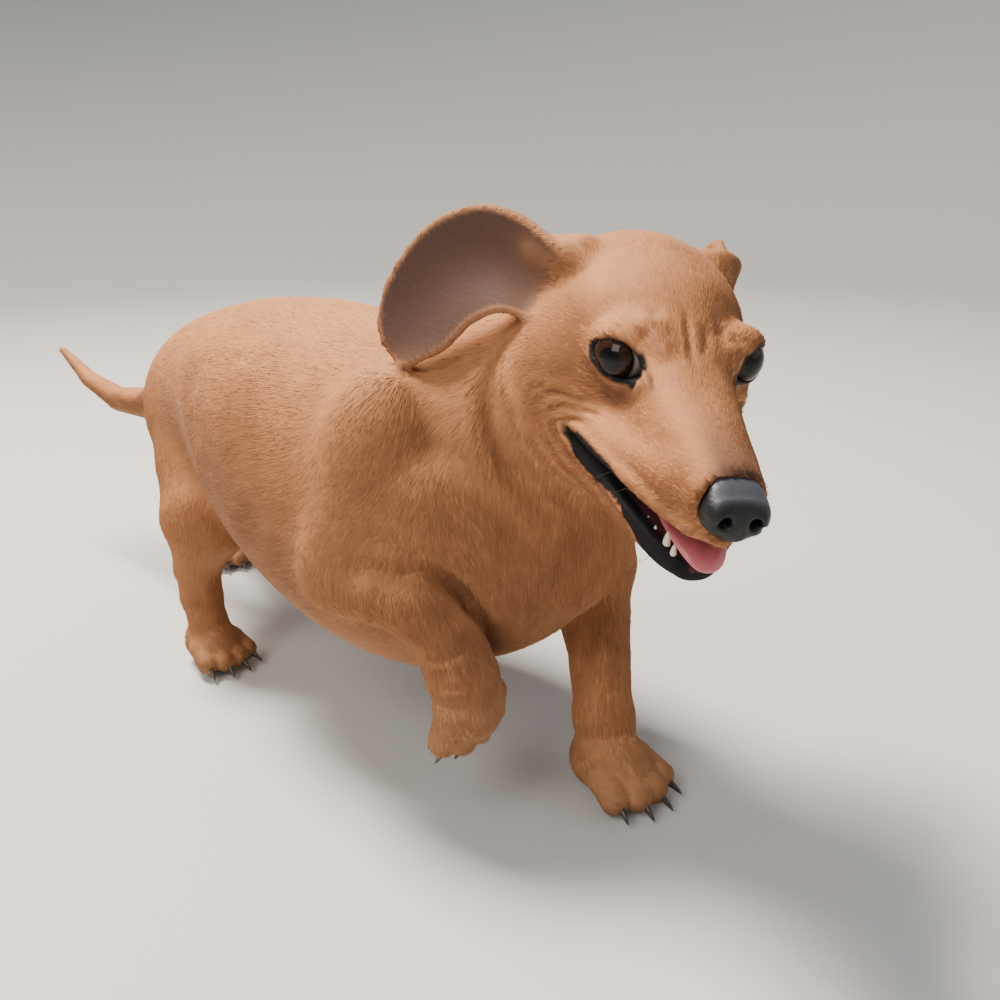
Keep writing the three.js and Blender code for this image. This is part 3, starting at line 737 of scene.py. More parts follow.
EARS = (
    Ear(
        "ear_right", Side.RIGHT,
        ((-34, 24.7, 17), (-42, 36.3, 22.9), (-63, 48.9, 28.4), (-79, 63.1, 27),
         (-88, 81.2, 13.4), (-87, 95.4, -14.6), (-78, 94.7, -30.7)),
        ((-34, 26.4, -3.9), (-44, 41.6, -5.8), (-52, 53.6, -5.8), (-57, 63.2, -13.1), (-60, 72.2, -25.4)),
        (-67, 86.2, -37.4), (-8, -3.8, -2.8),
    ),
    Ear(
        "ear_left", Side.LEFT,
        ((-48, 23.2, 15.2), (-60, 34.2, 24), (-72, 38.6, 25.4), (-92, 41, 14),
         (-106, 42.2, -9.5), (-107, 45.4, -33.8)),
        ((-42, 25.8, -4), (-54, 36.2, -9), (-64, 39, -15.3), (-74, 42.6, -29.6), (-84, 45.4, -45.9)),
        (-99, 46.8, -54), (5, 6.4, -2.2),
    ),
)


# Mouth and eyes as they are cut into the head


@dataclass(frozen=True)
class Mouth:
    """The open mouth in the head's side view: (x, z) points of both lips, ahead of the corner's x."""

    corner: float = -9.0
    upper: Table = (
        (-10, -35.2), (0, -35.3), (20, -35), (40, -35.6), (53, -36.6), (62, -38), (70, -39.5), (78, -38.5),
        (95, -36),
    )
    lower: Table = ((-10, -36.2), (12, -36.9), (30, -40), (46, -45.6), (58, -49.5), (95, -55))

    def heights(self, x: Array) -> tuple[Array, Array]:
        """The upper and the lower lip's height at x."""
        return tuple(np.interp(x, *np.array(edge).T) for edge in (self.upper, self.lower))

    def distance(self, q: Array) -> Array:
        """Distance to the gap between the lips, in the head's frame."""
        top, bottom = self.heights(q[:, 0])
        return np.maximum(np.maximum(q[:, 2] - top, bottom - q[:, 2]), self.corner - q[:, 0])


@dataclass(frozen=True)
class Eye:
    """An eye: its ball and the almond opening between its lids."""

    side: Side
    width: float = 11.2
    upper: float = 7.2
    lower: float = 5.0
    slant: float = 0.2
    middle: tuple[float, float] = (-0.5, -1.0)

    @cached_property
    def centre(self) -> Array:
        """The ball's centre in the body's space."""
        return HEAD.place(eye_spot(self.side))[0]

    @cached_property
    def axes(self) -> Array:
        """Rows: towards the dog's left in the eye's plane, up in it, and the way the eye looks."""
        return looking(HEAD.way((0.84, self.side * 0.53, 0.1)), HEAD.way((0, 0, 1)))

    def own(self, p: Array) -> Array:
        """Points of the body's space in the eye's frame, with its X towards the muzzle.

        Args:
            p: Points of the body's space.

        Returns:
            The points in the eye's frame.
        """
        q = (p - self.centre) @ self.axes.T
        q[:, 0] *= -self.side
        return q

    def almond(self, q: Array) -> Array:
        """Distance to the almond in the eye's plane: where two circles, one for each lid, overlap.

        Each circle passes through both corners and, at its middle, through its lid's height. The inner
        corner, towards the muzzle, is the lower one.

        Args:
            q: Points in the eye's frame.

        Returns:
            The distances.
        """
        along, rise = q[:, 0] - self.middle[0], q[:, 1] - self.middle[1]
        x = along * math.cos(self.slant) - rise * math.sin(self.slant)
        y = along * math.sin(self.slant) + rise * math.cos(self.slant)
        above = (self.width ** 2 - self.upper ** 2) / (2 * self.upper)
        below = (self.width ** 2 - self.lower ** 2) / (2 * self.lower)
        top = np.hypot(x, y + above) - (above + self.upper)
        bottom = np.hypot(x, y - below) - (below + self.lower)
        return np.maximum(top, bottom)

    def distance(self, p: Array) -> Array:
        """Distance to the opening: the almond pushed along the way the eye looks from inside the ball."""
        q = self.own(p)
        return np.maximum(self.almond(q), 3.0 - q[:, 2])


EYES = tuple(Eye(side) for side in Side)
MOUTH = Mouth()
NOSE_Y = 0.6
NOSE_BLOCK = Barrel(
    (
        (58, -14.8, -27, 7.8, 2.4),
        (64, -14.6, -28.5, 9.0, 2.6),
        (70, -16.0, -30.5, 9.9, 2.8),
        (74, -18.2, -31, 9.3, 2.8),
    ),
    3.4,
    NOSE_Y,
)


def nose_bulk(q: Array) -> Array:
    """Distance to the nose leather without its nostrils: a block with a lip below and a wing on each side.

    Args:
        q: Points in the head's frame.

    Returns:
        The distances.
    """
    d = melt(NOSE_BLOCK.distance(q), Egg((71.0, NOSE_Y, -29.0), (6.6, 6.4, 5.6)).distance(q), 3.0)
    for s in Side:
        d = melt(d, Egg((71.5, s * 6.4 + NOSE_Y, -25.5), (6.4, 4.6, 6.0)).distance(q), 2.0)
    return d


@dataclass(frozen=True)
class Crease:
    """A fold line on the skin: its path, half width and depth, with a soft ridge along both banks."""

    path: tuple[Vec, ...]
    width: float
    depth: float
    ridge: float = 0.4

    @cached_property
    def line(self) -> Array:
        """Points along a rounded curve through the path."""
        return rounded_curve(np.array(self.path, float), np.linspace(0, 1, 5 * len(self.path)))

    def relief(self, p: Array) -> Array:
        """How far the fold lowers the skin, below zero on its banks.

        The depth times a Gaussian of the distance to the path, less the ridge's share of a second one
        round 1.8 widths off. Both fade out over the last third of the path towards either end.

        Args:
            p: Points in the path's own space.

        Returns:
            The relief at each, zero where the path is far off.
        """
        out = np.zeros(len(p))
        line = self.line
        close = within(p, line, 3.6 * self.width)
        if not close.any():
            return out
        q = p[close]
        nearest = np.full(len(q), np.inf)
        place = np.zeros(len(q))
        for i, (a, b) in enumerate(zip(line, line[1:])):
            along = b - a
            t = np.clip((q - a) @ along / (along @ along), 0.0, 1.0)
            off = np.linalg.norm(q - a - t[:, None] * along, axis=1)
            less = off < nearest
            nearest[less] = off[less]
            place[less] = (i + t[less]) / (len(line) - 1)
        d = nearest / self.width
        fade = smooth_step(0.0, 0.33, place) * smooth_step(0.0, 0.33, 1.0 - place)
        out[close] = fade * self.depth * (np.exp(-d * d) - self.ridge * np.exp(-((d - 1.8) / 0.9) ** 2))
        return out


# Folds of the head in its own frame, of which those that start beyond this Y are on both sides
MIRRORED_FROM_Y = -9
HEAD_CREASES: tuple[Crease, ...] = (
    Crease(((-21.7, -43.1, -26.5), (-19.6, -42.1, -23.6), (-16.6, -40.2, -20.4)), 1.3, 1.0, 0.3),
    Crease((
        (-17.4, -40.4, -29.8), (-16.3, -40.1, -26.1), (-13.6, -38.1, -23.2), (-10.8, -35.2, -21.8),
        (-8.9, -32.5, -22.4), (-6.3, -29.4, -22.1), (-1.8, -25.8, -19.4),
    ), 1.7, 1.1, 0.45),
    Crease((
        (-16.3, -38.3, -34.4), (-14.4, -37.8, -30.7), (-12.4, -36.4, -27.9), (-10.2, -34.2, -26.3),
        (-8.1, -31.7, -25.6), (-5, -29.1, -25.5),
    ), 1.4, 1.3, 0.5),
    Crease((
        (-13.5, -35.8, -34.7), (-10.9, -34, -32.6), (-7.6, -31.7, -30.8), (-3.6, -29.9, -29.5),
        (4, -27.3, -27.5),
    ), 1.0, 0.9, 0.5),
    Crease(((-5.3, -29.6, -26.6), (-0.4, -26.6, -24.9), (6, -24.1, -23.6)), 1.0, 0.5, 0.5),
    Crease((
        (-14.4, -37.9, -29.9), (-14.2, -36.4, -34.6), (-14.2, -34.9, -38.6), (-12.1, -32.4, -42.5),
        (-6.8, -29.6, -45.6), (3.6, -27.4, -46.1),
    ), 2.0, 1.7, 0.4),
    Crease((
        (0.2, -0.8, 17), (5.9, -1.1, 13.1), (10.2, -1.4, 10.3), (14.8, -1.6, 7.3), (19.7, -1.8, 4.4),
        (27.3, -1.9, 0.6),
    ), 1.3, 1.2, 0.2),
    Crease(((6.1, 4.9, 12.6), (9.9, 5.2, 10), (13.7, 4.4, 7.7), (20.6, 1.6, 4)), 1.6, 0.7, 0.15),
    Crease(((-1.9, -11.3, 16.1), (5.9, -12.5, 13.2), (11.4, -13.8, 9.3)), 2.2, 0.6, 0.3),
    Crease(((6.7, 9.1, 11), (6.6, 11.9, 10.5), (7.5, 14.1, 11)), 2.6, 0.9, 0.0),
    Crease(((7.6, -18.9, 8.6), (9.4, -16.9, 8.4), (11.7, -14.9, 7.5)), 2.6, 0.9, 0.0),
    Crease(((18.1, -15.2, -1.9), (22, -15, -3.9), (25, -15.4, -6.3)), 0.9, 0.7, 0.2),
    Crease((
        (-4, -28, -13.1), (0.4, -24.9, -16), (8.4, -21.3, -15.5), (18.4, -18.6, -11.5),
        (24.4, -15.3, -5.8),
    ), 4.0, 1.2, 0.15),
)

# Folds of the neck, trunk and legs in the body's space
BODY_CREASES: tuple[Crease, ...] = (
    Crease((
        (127.3, -18.4, 228), (130.5, -22.8, 223.5), (131.4, -26.8, 217.6), (132.9, -29.6, 212.3),
        (136.3, -32.6, 203.7), (140.1, -34.4, 193.2), (145.3, -33.4, 182.5), (150.6, -30.2, 174.1),
        (157.2, -24.5, 165.4), (163.1, -18, 159.3),
    ), 4.0, 4.2, 0.35),
    Crease((
        (139.2, -30.1, 211.3), (142.2, -31.5, 205.7), (145.6, -32.3, 194.7), (149.2, -30.9, 184.8),
        (153.2, -28, 175.5), (157.2, -24.5, 170.2),
    ), 3.0, 1.6, 0.4),
    Crease((
        (150.1, -31.5, 196.6), (153.1, -30.1, 189.3), (156.1, -27.4, 182), (161.6, -21.4, 173.1),
        (167.9, -11.5, 164.1),
    ), 3.0, 1.3, 0.4),
    Crease((
        (89.9, -82.2, 141.3), (95.3, -80.1, 144), (106.9, -74.9, 147), (114.1, -71, 145.7),
        (121.5, -65.9, 142.1), (126, -58.6, 134.1), (129.4, -51.7, 126.8), (131.8, -46.6, 117.3),
        (134.3, -42.8, 109.1), (132.4, -35.1, 99.2), (127.8, -24, 85.3),
    ), 4.2, 4.0, 0.2),
    Crease((
        (123, -67.9, 94.1), (127.3, -68.1, 95.3), (134.6, -65.3, 97.4), (138.9, -59.9, 99.7),
        (140.2, -54, 101.7),
    ), 1.8, 0.9, 0.4),
    Crease((
        (126.9, -65.2, 80.2), (134, -64.4, 82.7), (138.6, -61.5, 83.8), (142.1, -56.4, 86),
    ), 1.6, 0.5, 0.4),
    Crease((
        (-40.2, -53.8, 206.9), (-51.5, -60, 198.5), (-56.7, -63.9, 190.5), (-58, -67.4, 181.2),
        (-52.6, -71.1, 171), (-35.6, -75.7, 161.7), (-25.1, -77.8, 149.3), (-9.6, -79.5, 144.2),
        (8.7, -80.3, 140.1),
    ), 10.0, 2.0, 0.0),
    Crease((
        (-7.5, -59.8, 201), (0.1, -68.1, 189.7), (5.1, -74.3, 176.8), (11.3, -78.1, 162.8),
        (18.6, -79.6, 150.7),
    ), 10.0, 1.4, 0.0),
    Crease((
        (134.5, -27.3, 93.5), (139.3, -23.1, 95.1), (149.8, -24.8, 106.3), (155.1, -26.4, 113.5),
    ), 2.5, 2.0, 0.4),
    Crease(((135.8, 29, 83.3), (139.5, 24.8, 75.1), (141.9, 21.4, 66.4), (145, 17.6, 54.7)), 4.0, 2.0, 0.2),
)


class Body:
    """The whole dog as one implicit body, with its regions, hair and markings."""

    def __init__(self) -> None:
        """Gathers the regions in the order in which they melt together."""
        trunk_masses = ((TORSO, 1.0), (BREAST, 8.0), (NECK, 30.0))
        trunk_hair = Hair(length=7.4, width=0.44, lift=0.08, density=1.0, depth=1.9)
        trunk = Region("trunk", trunk_masses, trunk_hair, (-30, 0, 140), 270, trunk_flow)
        tail_hair = Hair(length=6.6, width=0.42, lift=0.08, density=1.0, depth=1.2)
        tail = Region("tail", ((TAIL, 16.0),), tail_hair, (-320, 0, 140), 130, steady(-1, 0, 0.05))
        self.regions = (trunk, tail, *LEGS, *(paw.region() for paw in PAWS))
        centre = tuple(HEAD.place(np.array([-10.0, 0, -15.0]))[0])
        hair = Hair(length=3.6, width=0.31, lift=0.07, density=2.1, depth=0.6)
        self.head = Region("head", tuple(head_masses()), hair, centre, 118, self.head_flow)

    @staticmethod
    def head_flow(p: Array) -> Array:
        """Away from the nose, over the face to the back of the head."""
        nose = HEAD.place(np.array([84.0, 0, -20.0]))[0]
        return unit(p - nose) + 0.35 * HEAD.way((-1, 0, -0.25))

    def head_distance(self, p: Array) -> Array:
        """The head's melted masses, shrunk by its coat's depth.

        Args:
            p: Points of the body's space.

        Returns:
            The distances.
        """
        q = HEAD.inside(p)
        depth = self.head.hair.depth / HEAD_SCALE
        masses = self.head.masses
        d = masses[0][0].distance(q) + depth
        for shape, width in masses[1:]:
            d = melt(d, shape.distance(q) + depth, width)
        return d * HEAD_SCALE

    @staticmethod
    def creased(p: Array) -> Array:
        """How far all folds lower the skin.

        Args:
            p: Points of the body's space.

        Returns:
            The sum of the folds' relief at each.
        """
        q = HEAD.inside(p)
        other = q * np.array([1.0, -1.0, 1.0])
        relief = sum((crease.relief(p) for crease in BODY_CREASES), np.zeros(len(p)))
        for crease in HEAD_CREASES:
            relief += crease.relief(q)
            if crease.path[0][1] < MIRRORED_FROM_Y:
                relief += crease.relief(other)
        return relief

    def distance(self, p: Array) -> Array:
        """Distance to the skin: every region melted together and creased, with ears on and holes cut in.

        The holes are the mouth, the openings of the eyes and the socket of the nose leather, which clears
        the skin in front of the nose's root.

        Args:
            p: Points of the body's space.

        Returns:
            The distances.
        """
        d = np.full(len(p), FAR_OFF)
        for region in self.regions:
            d = region.melted_onto(d, p)
        close = self.head.near(p)
        if close.any():
            q = p[close]
            e = melt(d[close], self.head_distance(q), 14.0) + self.creased(q)
            for ear in EARS:
                e = melt(e, ear.distance(q), 5.0)
            for eye in EYES:
                e = carve(e, eye.distance(q), 1.6)
            own = HEAD.inside(q)
            e = carve(e, MOUTH.distance(own) * HEAD_SCALE, 2.0)
            inset = 1.2 - 1.8 * smooth_step(65.0, 69.0, own[:, 0])
            socket = np.maximum(nose_bulk(own) + inset, 62.0 - own[:, 0])
            e = carve(e, socket * HEAD_SCALE, 1.0)
            d[close] = e
        d[~close] += sum(crease.relief(p[~close]) for crease in BODY_CREASES)
        return d

    def shares(self, p: Array) -> dict[str, Array]:
        """How much of each region a point of the skin is, by exp(-distance / 5).

        Args:
            p: Points of the skin.

        Returns:
            The shares under the regions' names, which add to one at each point.
        """
        apart = {r.name: r.distance(p) for r in self.regions}
        close = self.head.near(p)
        apart["head"] = np.full(len(p), FAR_OFF)
        apart["head"][close] = self.head_distance(p[close])
        raw = {name: np.exp(-np.clip(d, -4, FAR_OFF) / 5.0) for name, d in apart.items()}
        for ear in EARS:
            raw[ear.name] = 3.0 * np.exp(-np.clip(ear.distance(p), -1, 12) / 1.2)
        total = sum(raw.values())
        return {name: share / total for name, share in raw.items()}


# Meshing


@dataclass(frozen=True)
class Net:
    """A mesh of quads or triangles in millimetres."""

    vertices: Array
    faces: Array

    @cached_property
    def triangles(self) -> Array:
        """The faces as triangles."""
        f = self.faces
        return f if f.shape[1] == 3 else np.vstack([f[:, [0, 1, 2]], f[:, [0, 2, 3]]])


def spaced(stations: Table) -> Array:
    """Grid lines whose spacing changes along an axis: even steps of the integral of 1 / spacing.

    Args:
        stations: Places along the axis, each with the spacing there.

    Returns:
        The lines' places, from the first to the last station.
    """
    places, steps = np.array(stations, float).T
    fine = np.linspace(places[0], places[-1], 4000)
    density = 1.0 / np.interp(fine, places, steps)
    count = np.concatenate([[0], np.cumsum((density[1:] + density[:-1]) / 2 * np.diff(fine))])
    return np.interp(np.linspace(0, count[-1], int(count[-1]) + 1), count, fine)


class Mesher:
    """Turns a field into a closed surface net on a grid whose spacing varies along each axis."""

    def __init__(
        self, field_at: Callable[[Array], Array], axes: tuple[Array, Array, Array], block: int = 6
    ) -> None:
        """Keeps the field and the grid lines, trimmed to whole blocks.

        Args:
            field_at: Gives the distances to the surface at points, below zero inside.
            axes: The grid lines' places along each axis.
            block: How many lines of each axis make a block.
        """
        self.field_at = field_at
        self.block = block
        self.axes = tuple(a[: (len(a) // block) * block] for a in axes)
        self.shape = tuple(len(a) for a in self.axes)

    def sample(self, p: Array, chunk: int = 150_000) -> Array:
        """The field at many points, worked out in chunks."""
        return np.concatenate([self.field_at(p[i:i + chunk]) for i in range(0, len(p), chunk)])

    def points(self, index: tuple[Array, Array, Array]) -> Array:
        """The grid points at integer indices."""
        return np.stack([a[i] for a, i in zip(self.axes, index)], axis=1)

    def values(self) -> Array:
        """The field on the grid: exact in blocks near the surface, and elsewhere as at the block's middle.

        Returns:
            The distances, at least 1 on the grid's faces, which keeps the surface closed.
        """
        b = self.block
        counts = [n // b for n in self.shape]
        middles = [a.reshape(-1, b).mean(1) for a in self.axes]
        spans = [np.append(a, 2 * a[-1] - a[-2])[b::b] - a[::b] for a in self.axes]
        grid = np.stack(np.meshgrid(*middles, indexing="ij"), -1).reshape(-1, 3)
        reach = np.sqrt(sum(s ** 2 for s in np.meshgrid(*spans, indexing="ij"))).reshape(-1) / 2
        rough = self.sample(grid)
        active = (np.abs(rough) < 1.5 * reach + 2.5).reshape(counts)
        full = rough.reshape(counts).astype(np.float32)
        near = active.copy()
        for axis in range(3):
            near |= np.roll(near, 1, axis)
        for axis in range(3):
            full, near = np.repeat(full, b, axis), np.repeat(near, b, axis)
        index = np.nonzero(near)
        full[index] = self.sample(self.points(index))
        for axis in range(3):
            edge = [slice(None)] * 3
            for end in (0, -1):
                edge[axis] = end
                full[tuple(edge)] = np.maximum(full[tuple(edge)], 1.0)
        return full

    @staticmethod
    def corner(values: Array, u: int, w: int, place: tuple[int, int]) -> Array:
        """The values at one corner of every grid square in a plane.

        Args:
            values: The field on the grid.
            u: One axis of the squares' plane.
            w: The other one.
            place: The corner, 0 or 1 along each.

        Returns:
            A view of the values.
        """
        cut = [slice(None)] * 3
        cut[u], cut[w] = (slice(a, a - 1 or None) for a in place)
        return values[tuple(cut)]

    @classmethod
    def untangle(cls, values: Array) -> None:
        """Puts the weaker of two inside corners that face each other across a grid square outside.

        Such squares, with both other corners outside, would pinch the surface. Passes over the grid's
        three planes end when none is left.

        Args:
            values: The field on the grid, which is changed.
        """
        rising, falling = ((0, 0), (1, 1)), ((0, 1), (1, 0))
        for _ in range(8):
            changed = 0
            for u, w in ((0, 1), (1, 2), (0, 2)):
                for pair, other in ((rising, falling), (falling, rising)):
                    first, second = (cls.corner(values, u, w, place) for place in pair)
                    bad = (first < 0) & (second < 0)
                    for place in other:
                        bad &= cls.corner(values, u, w, place) >= 0
                    if bad.any():
                        weak = bad & (first > second)
                        first[weak] = 1e-4
                        second[bad & ~weak] = 1e-4
                        changed += int(bad.sum())
            if changed == 0:
                return

    def net(self, steps: int = 3) -> Net:
        """The surface net: one vertex in each crossed cell, drawn onto the surface by Newton steps.

        Args:
            steps: How many times each vertex moves along the gradient to the surface.

        Returns:
            The net in quads that face outwards.
        """
        values = self.values()
        self.untangle(values)
        inside = values < 0
        cells = tuple(n - 1 for n in self.shape)
        total = np.zeros(cells, np.int8)
        offsets = [(i, j, k) for i in (0, 1) for j in (0, 1) for k in (0, 1)]
        for i, j, k in offsets:
            total += inside[i:i + cells[0], j:j + cells[1], k:k + cells[2]]
        index = np.nonzero((total > 0) & (total < 8))
        ids = np.full(cells, -1, np.int32)
        ids[index] = np.arange(len(index[0]))
        corner = {o: values[tuple(a + b for a, b in zip(index, o))] for o in offsets}
        place = {o: self.points(tuple(a + b for a, b in zip(index, o))) for o in offsets}
        sums = np.zeros((len(index[0]), 3))
        crossed = np.zeros(len(index[0]))
        for a in offsets:
            for axis in range(3):
                if a[axis]:
                    continue
                b = tuple(v + (n == axis) for n, v in enumerate(a))
                cut = (corner[a] < 0) != (corner[b] < 0)
                t = np.where(cut, corner[a] / np.where(cut, corner[a] - corner[b], 1.0), 0.0)[:, None]
                sums += np.where(cut[:, None], place[a] + t * (place[b] - place[a]), 0.0)
                crossed += cut
        vertices = sums / crossed[:, None]
        size = (place[(1, 1, 1)] - place[(0, 0, 0)]).min(1)
        vertices = self.settle(vertices, size, steps)
        return Net(vertices, self.quads(inside, ids))

    def settle(self, vertices: Array, size: Array, steps: int) -> Array:
        """Moves vertices along the gradient onto the surface, by at most half a cell in all.

        Args:
            vertices: Where the vertices are.
            size: The least side of each vertex's cell.
            steps: How many Newton steps to take.

        Returns:
            Where they end.
        """
        start = vertices.copy()
        h = 0.2
        for _ in range(steps):
            d = self.sample(vertices)
            slope = np.stack([(self.sample(vertices + h * way) - d) / h for way in np.eye(3)], axis=1)
            move = -d / np.maximum((slope * slope).sum(1), 0.25)
            vertices = vertices + slope * move[:, None]
            off = vertices - start
            far = np.maximum(np.linalg.norm(off, axis=1) / (0.5 * size), 1.0)
            vertices = start + off / far[:, None]
        return vertices

    @staticmethod
    def quads(inside: Array, ids: Array) -> Array:
        """A quad round each grid edge that crosses the surface, joining its four cells.

        Args:
            inside: Which grid points are inside.
            ids: The vertex of each cell.

        Returns:
            The quads, which face outwards.
        """
        faces = []
        for axis in range(3):
            u, w = (axis + 1) % 3, (axis + 2) % 3
            low = [slice(1, n - 1) for n in inside.shape]
            low[axis] = slice(0, inside.shape[axis] - 1)
            high = list(low)
            high[axis] = slice(1, inside.shape[axis])
            start, end = inside[tuple(low)], inside[tuple(high)]
            at = np.array(np.nonzero(start != end))
            flips = start[tuple(at)]
            at[u] += 1
            at[w] += 1
            ring = []
            for du, dw in ((-1, -1), (0, -1), (0, 0), (-1, 0)):
                cell = at.copy()
                cell[u] += du
                cell[w] += dw
                ring.append(ids[tuple(cell)])
            quad = np.stack(ring, axis=1)
            quad[~flips] = quad[~flips][:, ::-1]
            faces.append(quad)
        return np.vstack(faces)


# Putting arrays into Blender


class Place:
    """Moves millimetres of the body's space into the frame's metres, so that the eyeballs coincide."""

    def __init__(self) -> None:
        """Finds the shift from the boxes of both eye nodes."""
        boxes = [np.array([list(c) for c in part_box(f"eye_{name}")]) for name in ("right", "left")]
        middles = np.array([b.mean(0) for b in boxes])
        own = np.array([eye.centre for eye in EYES]) / MM_PER_METRE
        shift = (own - middles).mean(0)
        self.shift = np.array([shift[0], shift[1], 0.0])

    def __call__(self, p: Array) -> Array:
        """Points in millimetres as points of the frame in metres."""
        return np.asarray(p) / MM_PER_METRE - self.shift


PLACE = Place()


def add_mesh(name: str, net: Net, smooth: bool = True) -> bpy.types.Object:
    """Makes a mesh object from a net, whose place is in its vertices.

    Args:
        name: The object's name.
        net: Vertices in millimetres and faces of one size.
        smooth: Whether the faces are shaded smooth.

    Returns:
        The new object.
    """
    mesh = bpy.data.meshes.new(name)
    count, sides = net.faces.shape
    mesh.vertices.add(len(net.vertices))
    mesh.vertices.foreach_set("co", PLACE(net.vertices).astype(np.float32).ravel())
    mesh.loops.add(count * sides)
    mesh.loops.foreach_set("vertex_index", net.faces.astype(np.int32).ravel())
    mesh.polygons.add(count)
    mesh.polygons.foreach_set("loop_start", np.arange(0, count * sides, sides, dtype=np.int32))
    mesh.polygons.foreach_set("use_smooth", np.full(count, smooth))
    mesh.update(calc_edges=True)
    mesh.validate()
    piece = bpy.data.objects.new(name, mesh)
    bpy.context.scene.collection.objects.link(piece)
    return piece


def paint(piece: bpy.types.Object, name: str, colours: Array) -> None:
    """Stores a colour for each vertex as an attribute.

    Args:
        piece: The object.
        name: The attribute's name.
        colours: Linear colours, one row for each vertex.
    """
    rgba = np.ones((len(colours), 4), np.float32)
    rgba[:, :3] = colours
    layer = piece.data.color_attributes.new(name, "FLOAT_COLOR", "POINT")
    layer.data.foreach_set("color", rgba.ravel())


def wear(piece: bpy.types.Object, material: bpy.types.Material, slot: str, *nodes: str) -> None:
    """Dresses a piece, lets it ride on the dog and reports it.

    Args:
        piece: The piece.
        material: What it wears.
        slot: The part's material slot that it belongs to, which is not used.
        nodes: The solids that it stands for, if any.
    """
    piece.data.materials.append(material)
    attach(piece, "root")
    if nodes:
        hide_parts(*nodes)
    LOG.info("%s: %d faces", piece.name, len(piece.data.polygons))


def vertex_normals(net: Net) -> Array:
    """The area-weighted mean of the normals of the faces round each vertex.

    Args:
        net: The mesh.

    Returns:
        Unit normals, one row each.
    """
    t = net.triangles
    a, b, c = (net.vertices[t[:, k]] for k in range(3))
    faces = np.cross(b - a, c - a)
    out = np.zeros_like(net.vertices)
    for k in range(3):
        for axis in range(3):
            out[:, axis] += np.bincount(t[:, k], faces[:, axis], minlength=len(out))
    return unit(out)


def ring_faces(rings: int, spokes: int) -> Array:
    """Quads that join each ring of a tube or a ball to the next one.

    Args:
        rings: How many rings there are.
        spokes: How many points each ring has.

    Returns:
        The quads.
    """
    i = np.arange(rings - 1)[:, None] * spokes
    j = np.arange(spokes)[None]
    k = (j + 1) % spokes
    return np.stack([i + j, i + spokes + j, i + spokes + k, i + k], -1).reshape(-1, 4)


def mottle(p: Array, size: float, seed: int) -> Array:
    """Smooth noise: hashed values at a lattice's corners, blended by the cubic 3t² - 2t³ along each axis.

    Args:
        p: Points in millimetres.
        size: The lattice's spacing.
        seed: Tells one noise from another.

    Returns:
        Values from -1 to 1.
    """
    q = p / size
    base = np.floor(q).astype(np.int64)
    f = q - base
    f = f * f * (3 - 2 * f)
    out = np.zeros(len(p))
    for corner in range(8):
        o = np.array([corner & 1, corner >> 1 & 1, corner >> 2 & 1])
        i = base + o
        key = (i[:, 0] * 73856093) ^ (i[:, 1] * 19349663) ^ (i[:, 2] * 83492791) ^ (seed * 2654435761)
        key = (key ^ (key >> 13)) * 1274126177 & 0xFFFFFFFF
        weight = np.prod(np.where(o, f, 1 - f), axis=1)
        out += weight * (key / 0x7FFFFFFF - 1.0)
    return out


# Markings


@dataclass(frozen=True)
class Palette:
    """Colours of the coat and the bare skin, and of the painted light and shade laid on them, linear."""

    coat: Colour = (0.385, 0.163, 0.075)
    # gold is the coat's golden tone, and is also laid on as painted highlight
    gold: Colour = (0.62, 0.280, 0.116)
    cream: Colour = (0.50, 0.29, 0.155)
    # shade is laid on as painted shade, and also as darker tone at random
    shade: Colour = (0.15, 0.060, 0.033)
    # the inside of the ears: barer dark skin, darkened further as painted shade in the cup
    ear_inside_and_shade: Colour = (0.066, 0.036, 0.030)
    ear_outside: Colour = (0.30, 0.135, 0.070)
    black: Colour = (0.006, 0.0055, 0.007)
    mouth: Colour = (0.075, 0.022, 0.026)
    bridge: Colour = (0.18, 0.088, 0.055)
    pad: Colour = (0.03, 0.022, 0.022)


@dataclass(frozen=True)
class Spot:
    """A soft gold spot on both sides of the head: a bell of the given widths round its middle."""

    middle: Vec
    widths: Vec
    strength: float


# The cheeks, the temples and the folds behind the mouth's corners, in the head's frame
GOLD_SPOTS = (
    Spot((30, 22, -18), (30, 12, 12), 0.35),
    Spot((-22, 30, 22), (12, 10, 8), 0.5),
    Spot((-9, 33, -27), (10, 10, 10), 0.7),
)

# Along the head's X: how far the black lip reaches above the slit of the mouth, the height that it
# reaches down to, and half the width between the lower lips
LIP_ABOVE = ((-9, 2, 12, 28, 36, 44), (1.5, 4.0, 4.2, 3.6, 1.4, 0.7))
LIP_BOTTOM = (
    (-10, -8, 0, 10, 28, 34, 38, 44, 52),
    (-38.2, -38.8, -42.9, -43.8, -43.6, -45, -50, -56, -60),
)
LINING_HALF = ((5, 20, 40, 52, 62, 68), (25, 21.5, 16.5, 11.5, 6.5, 2))


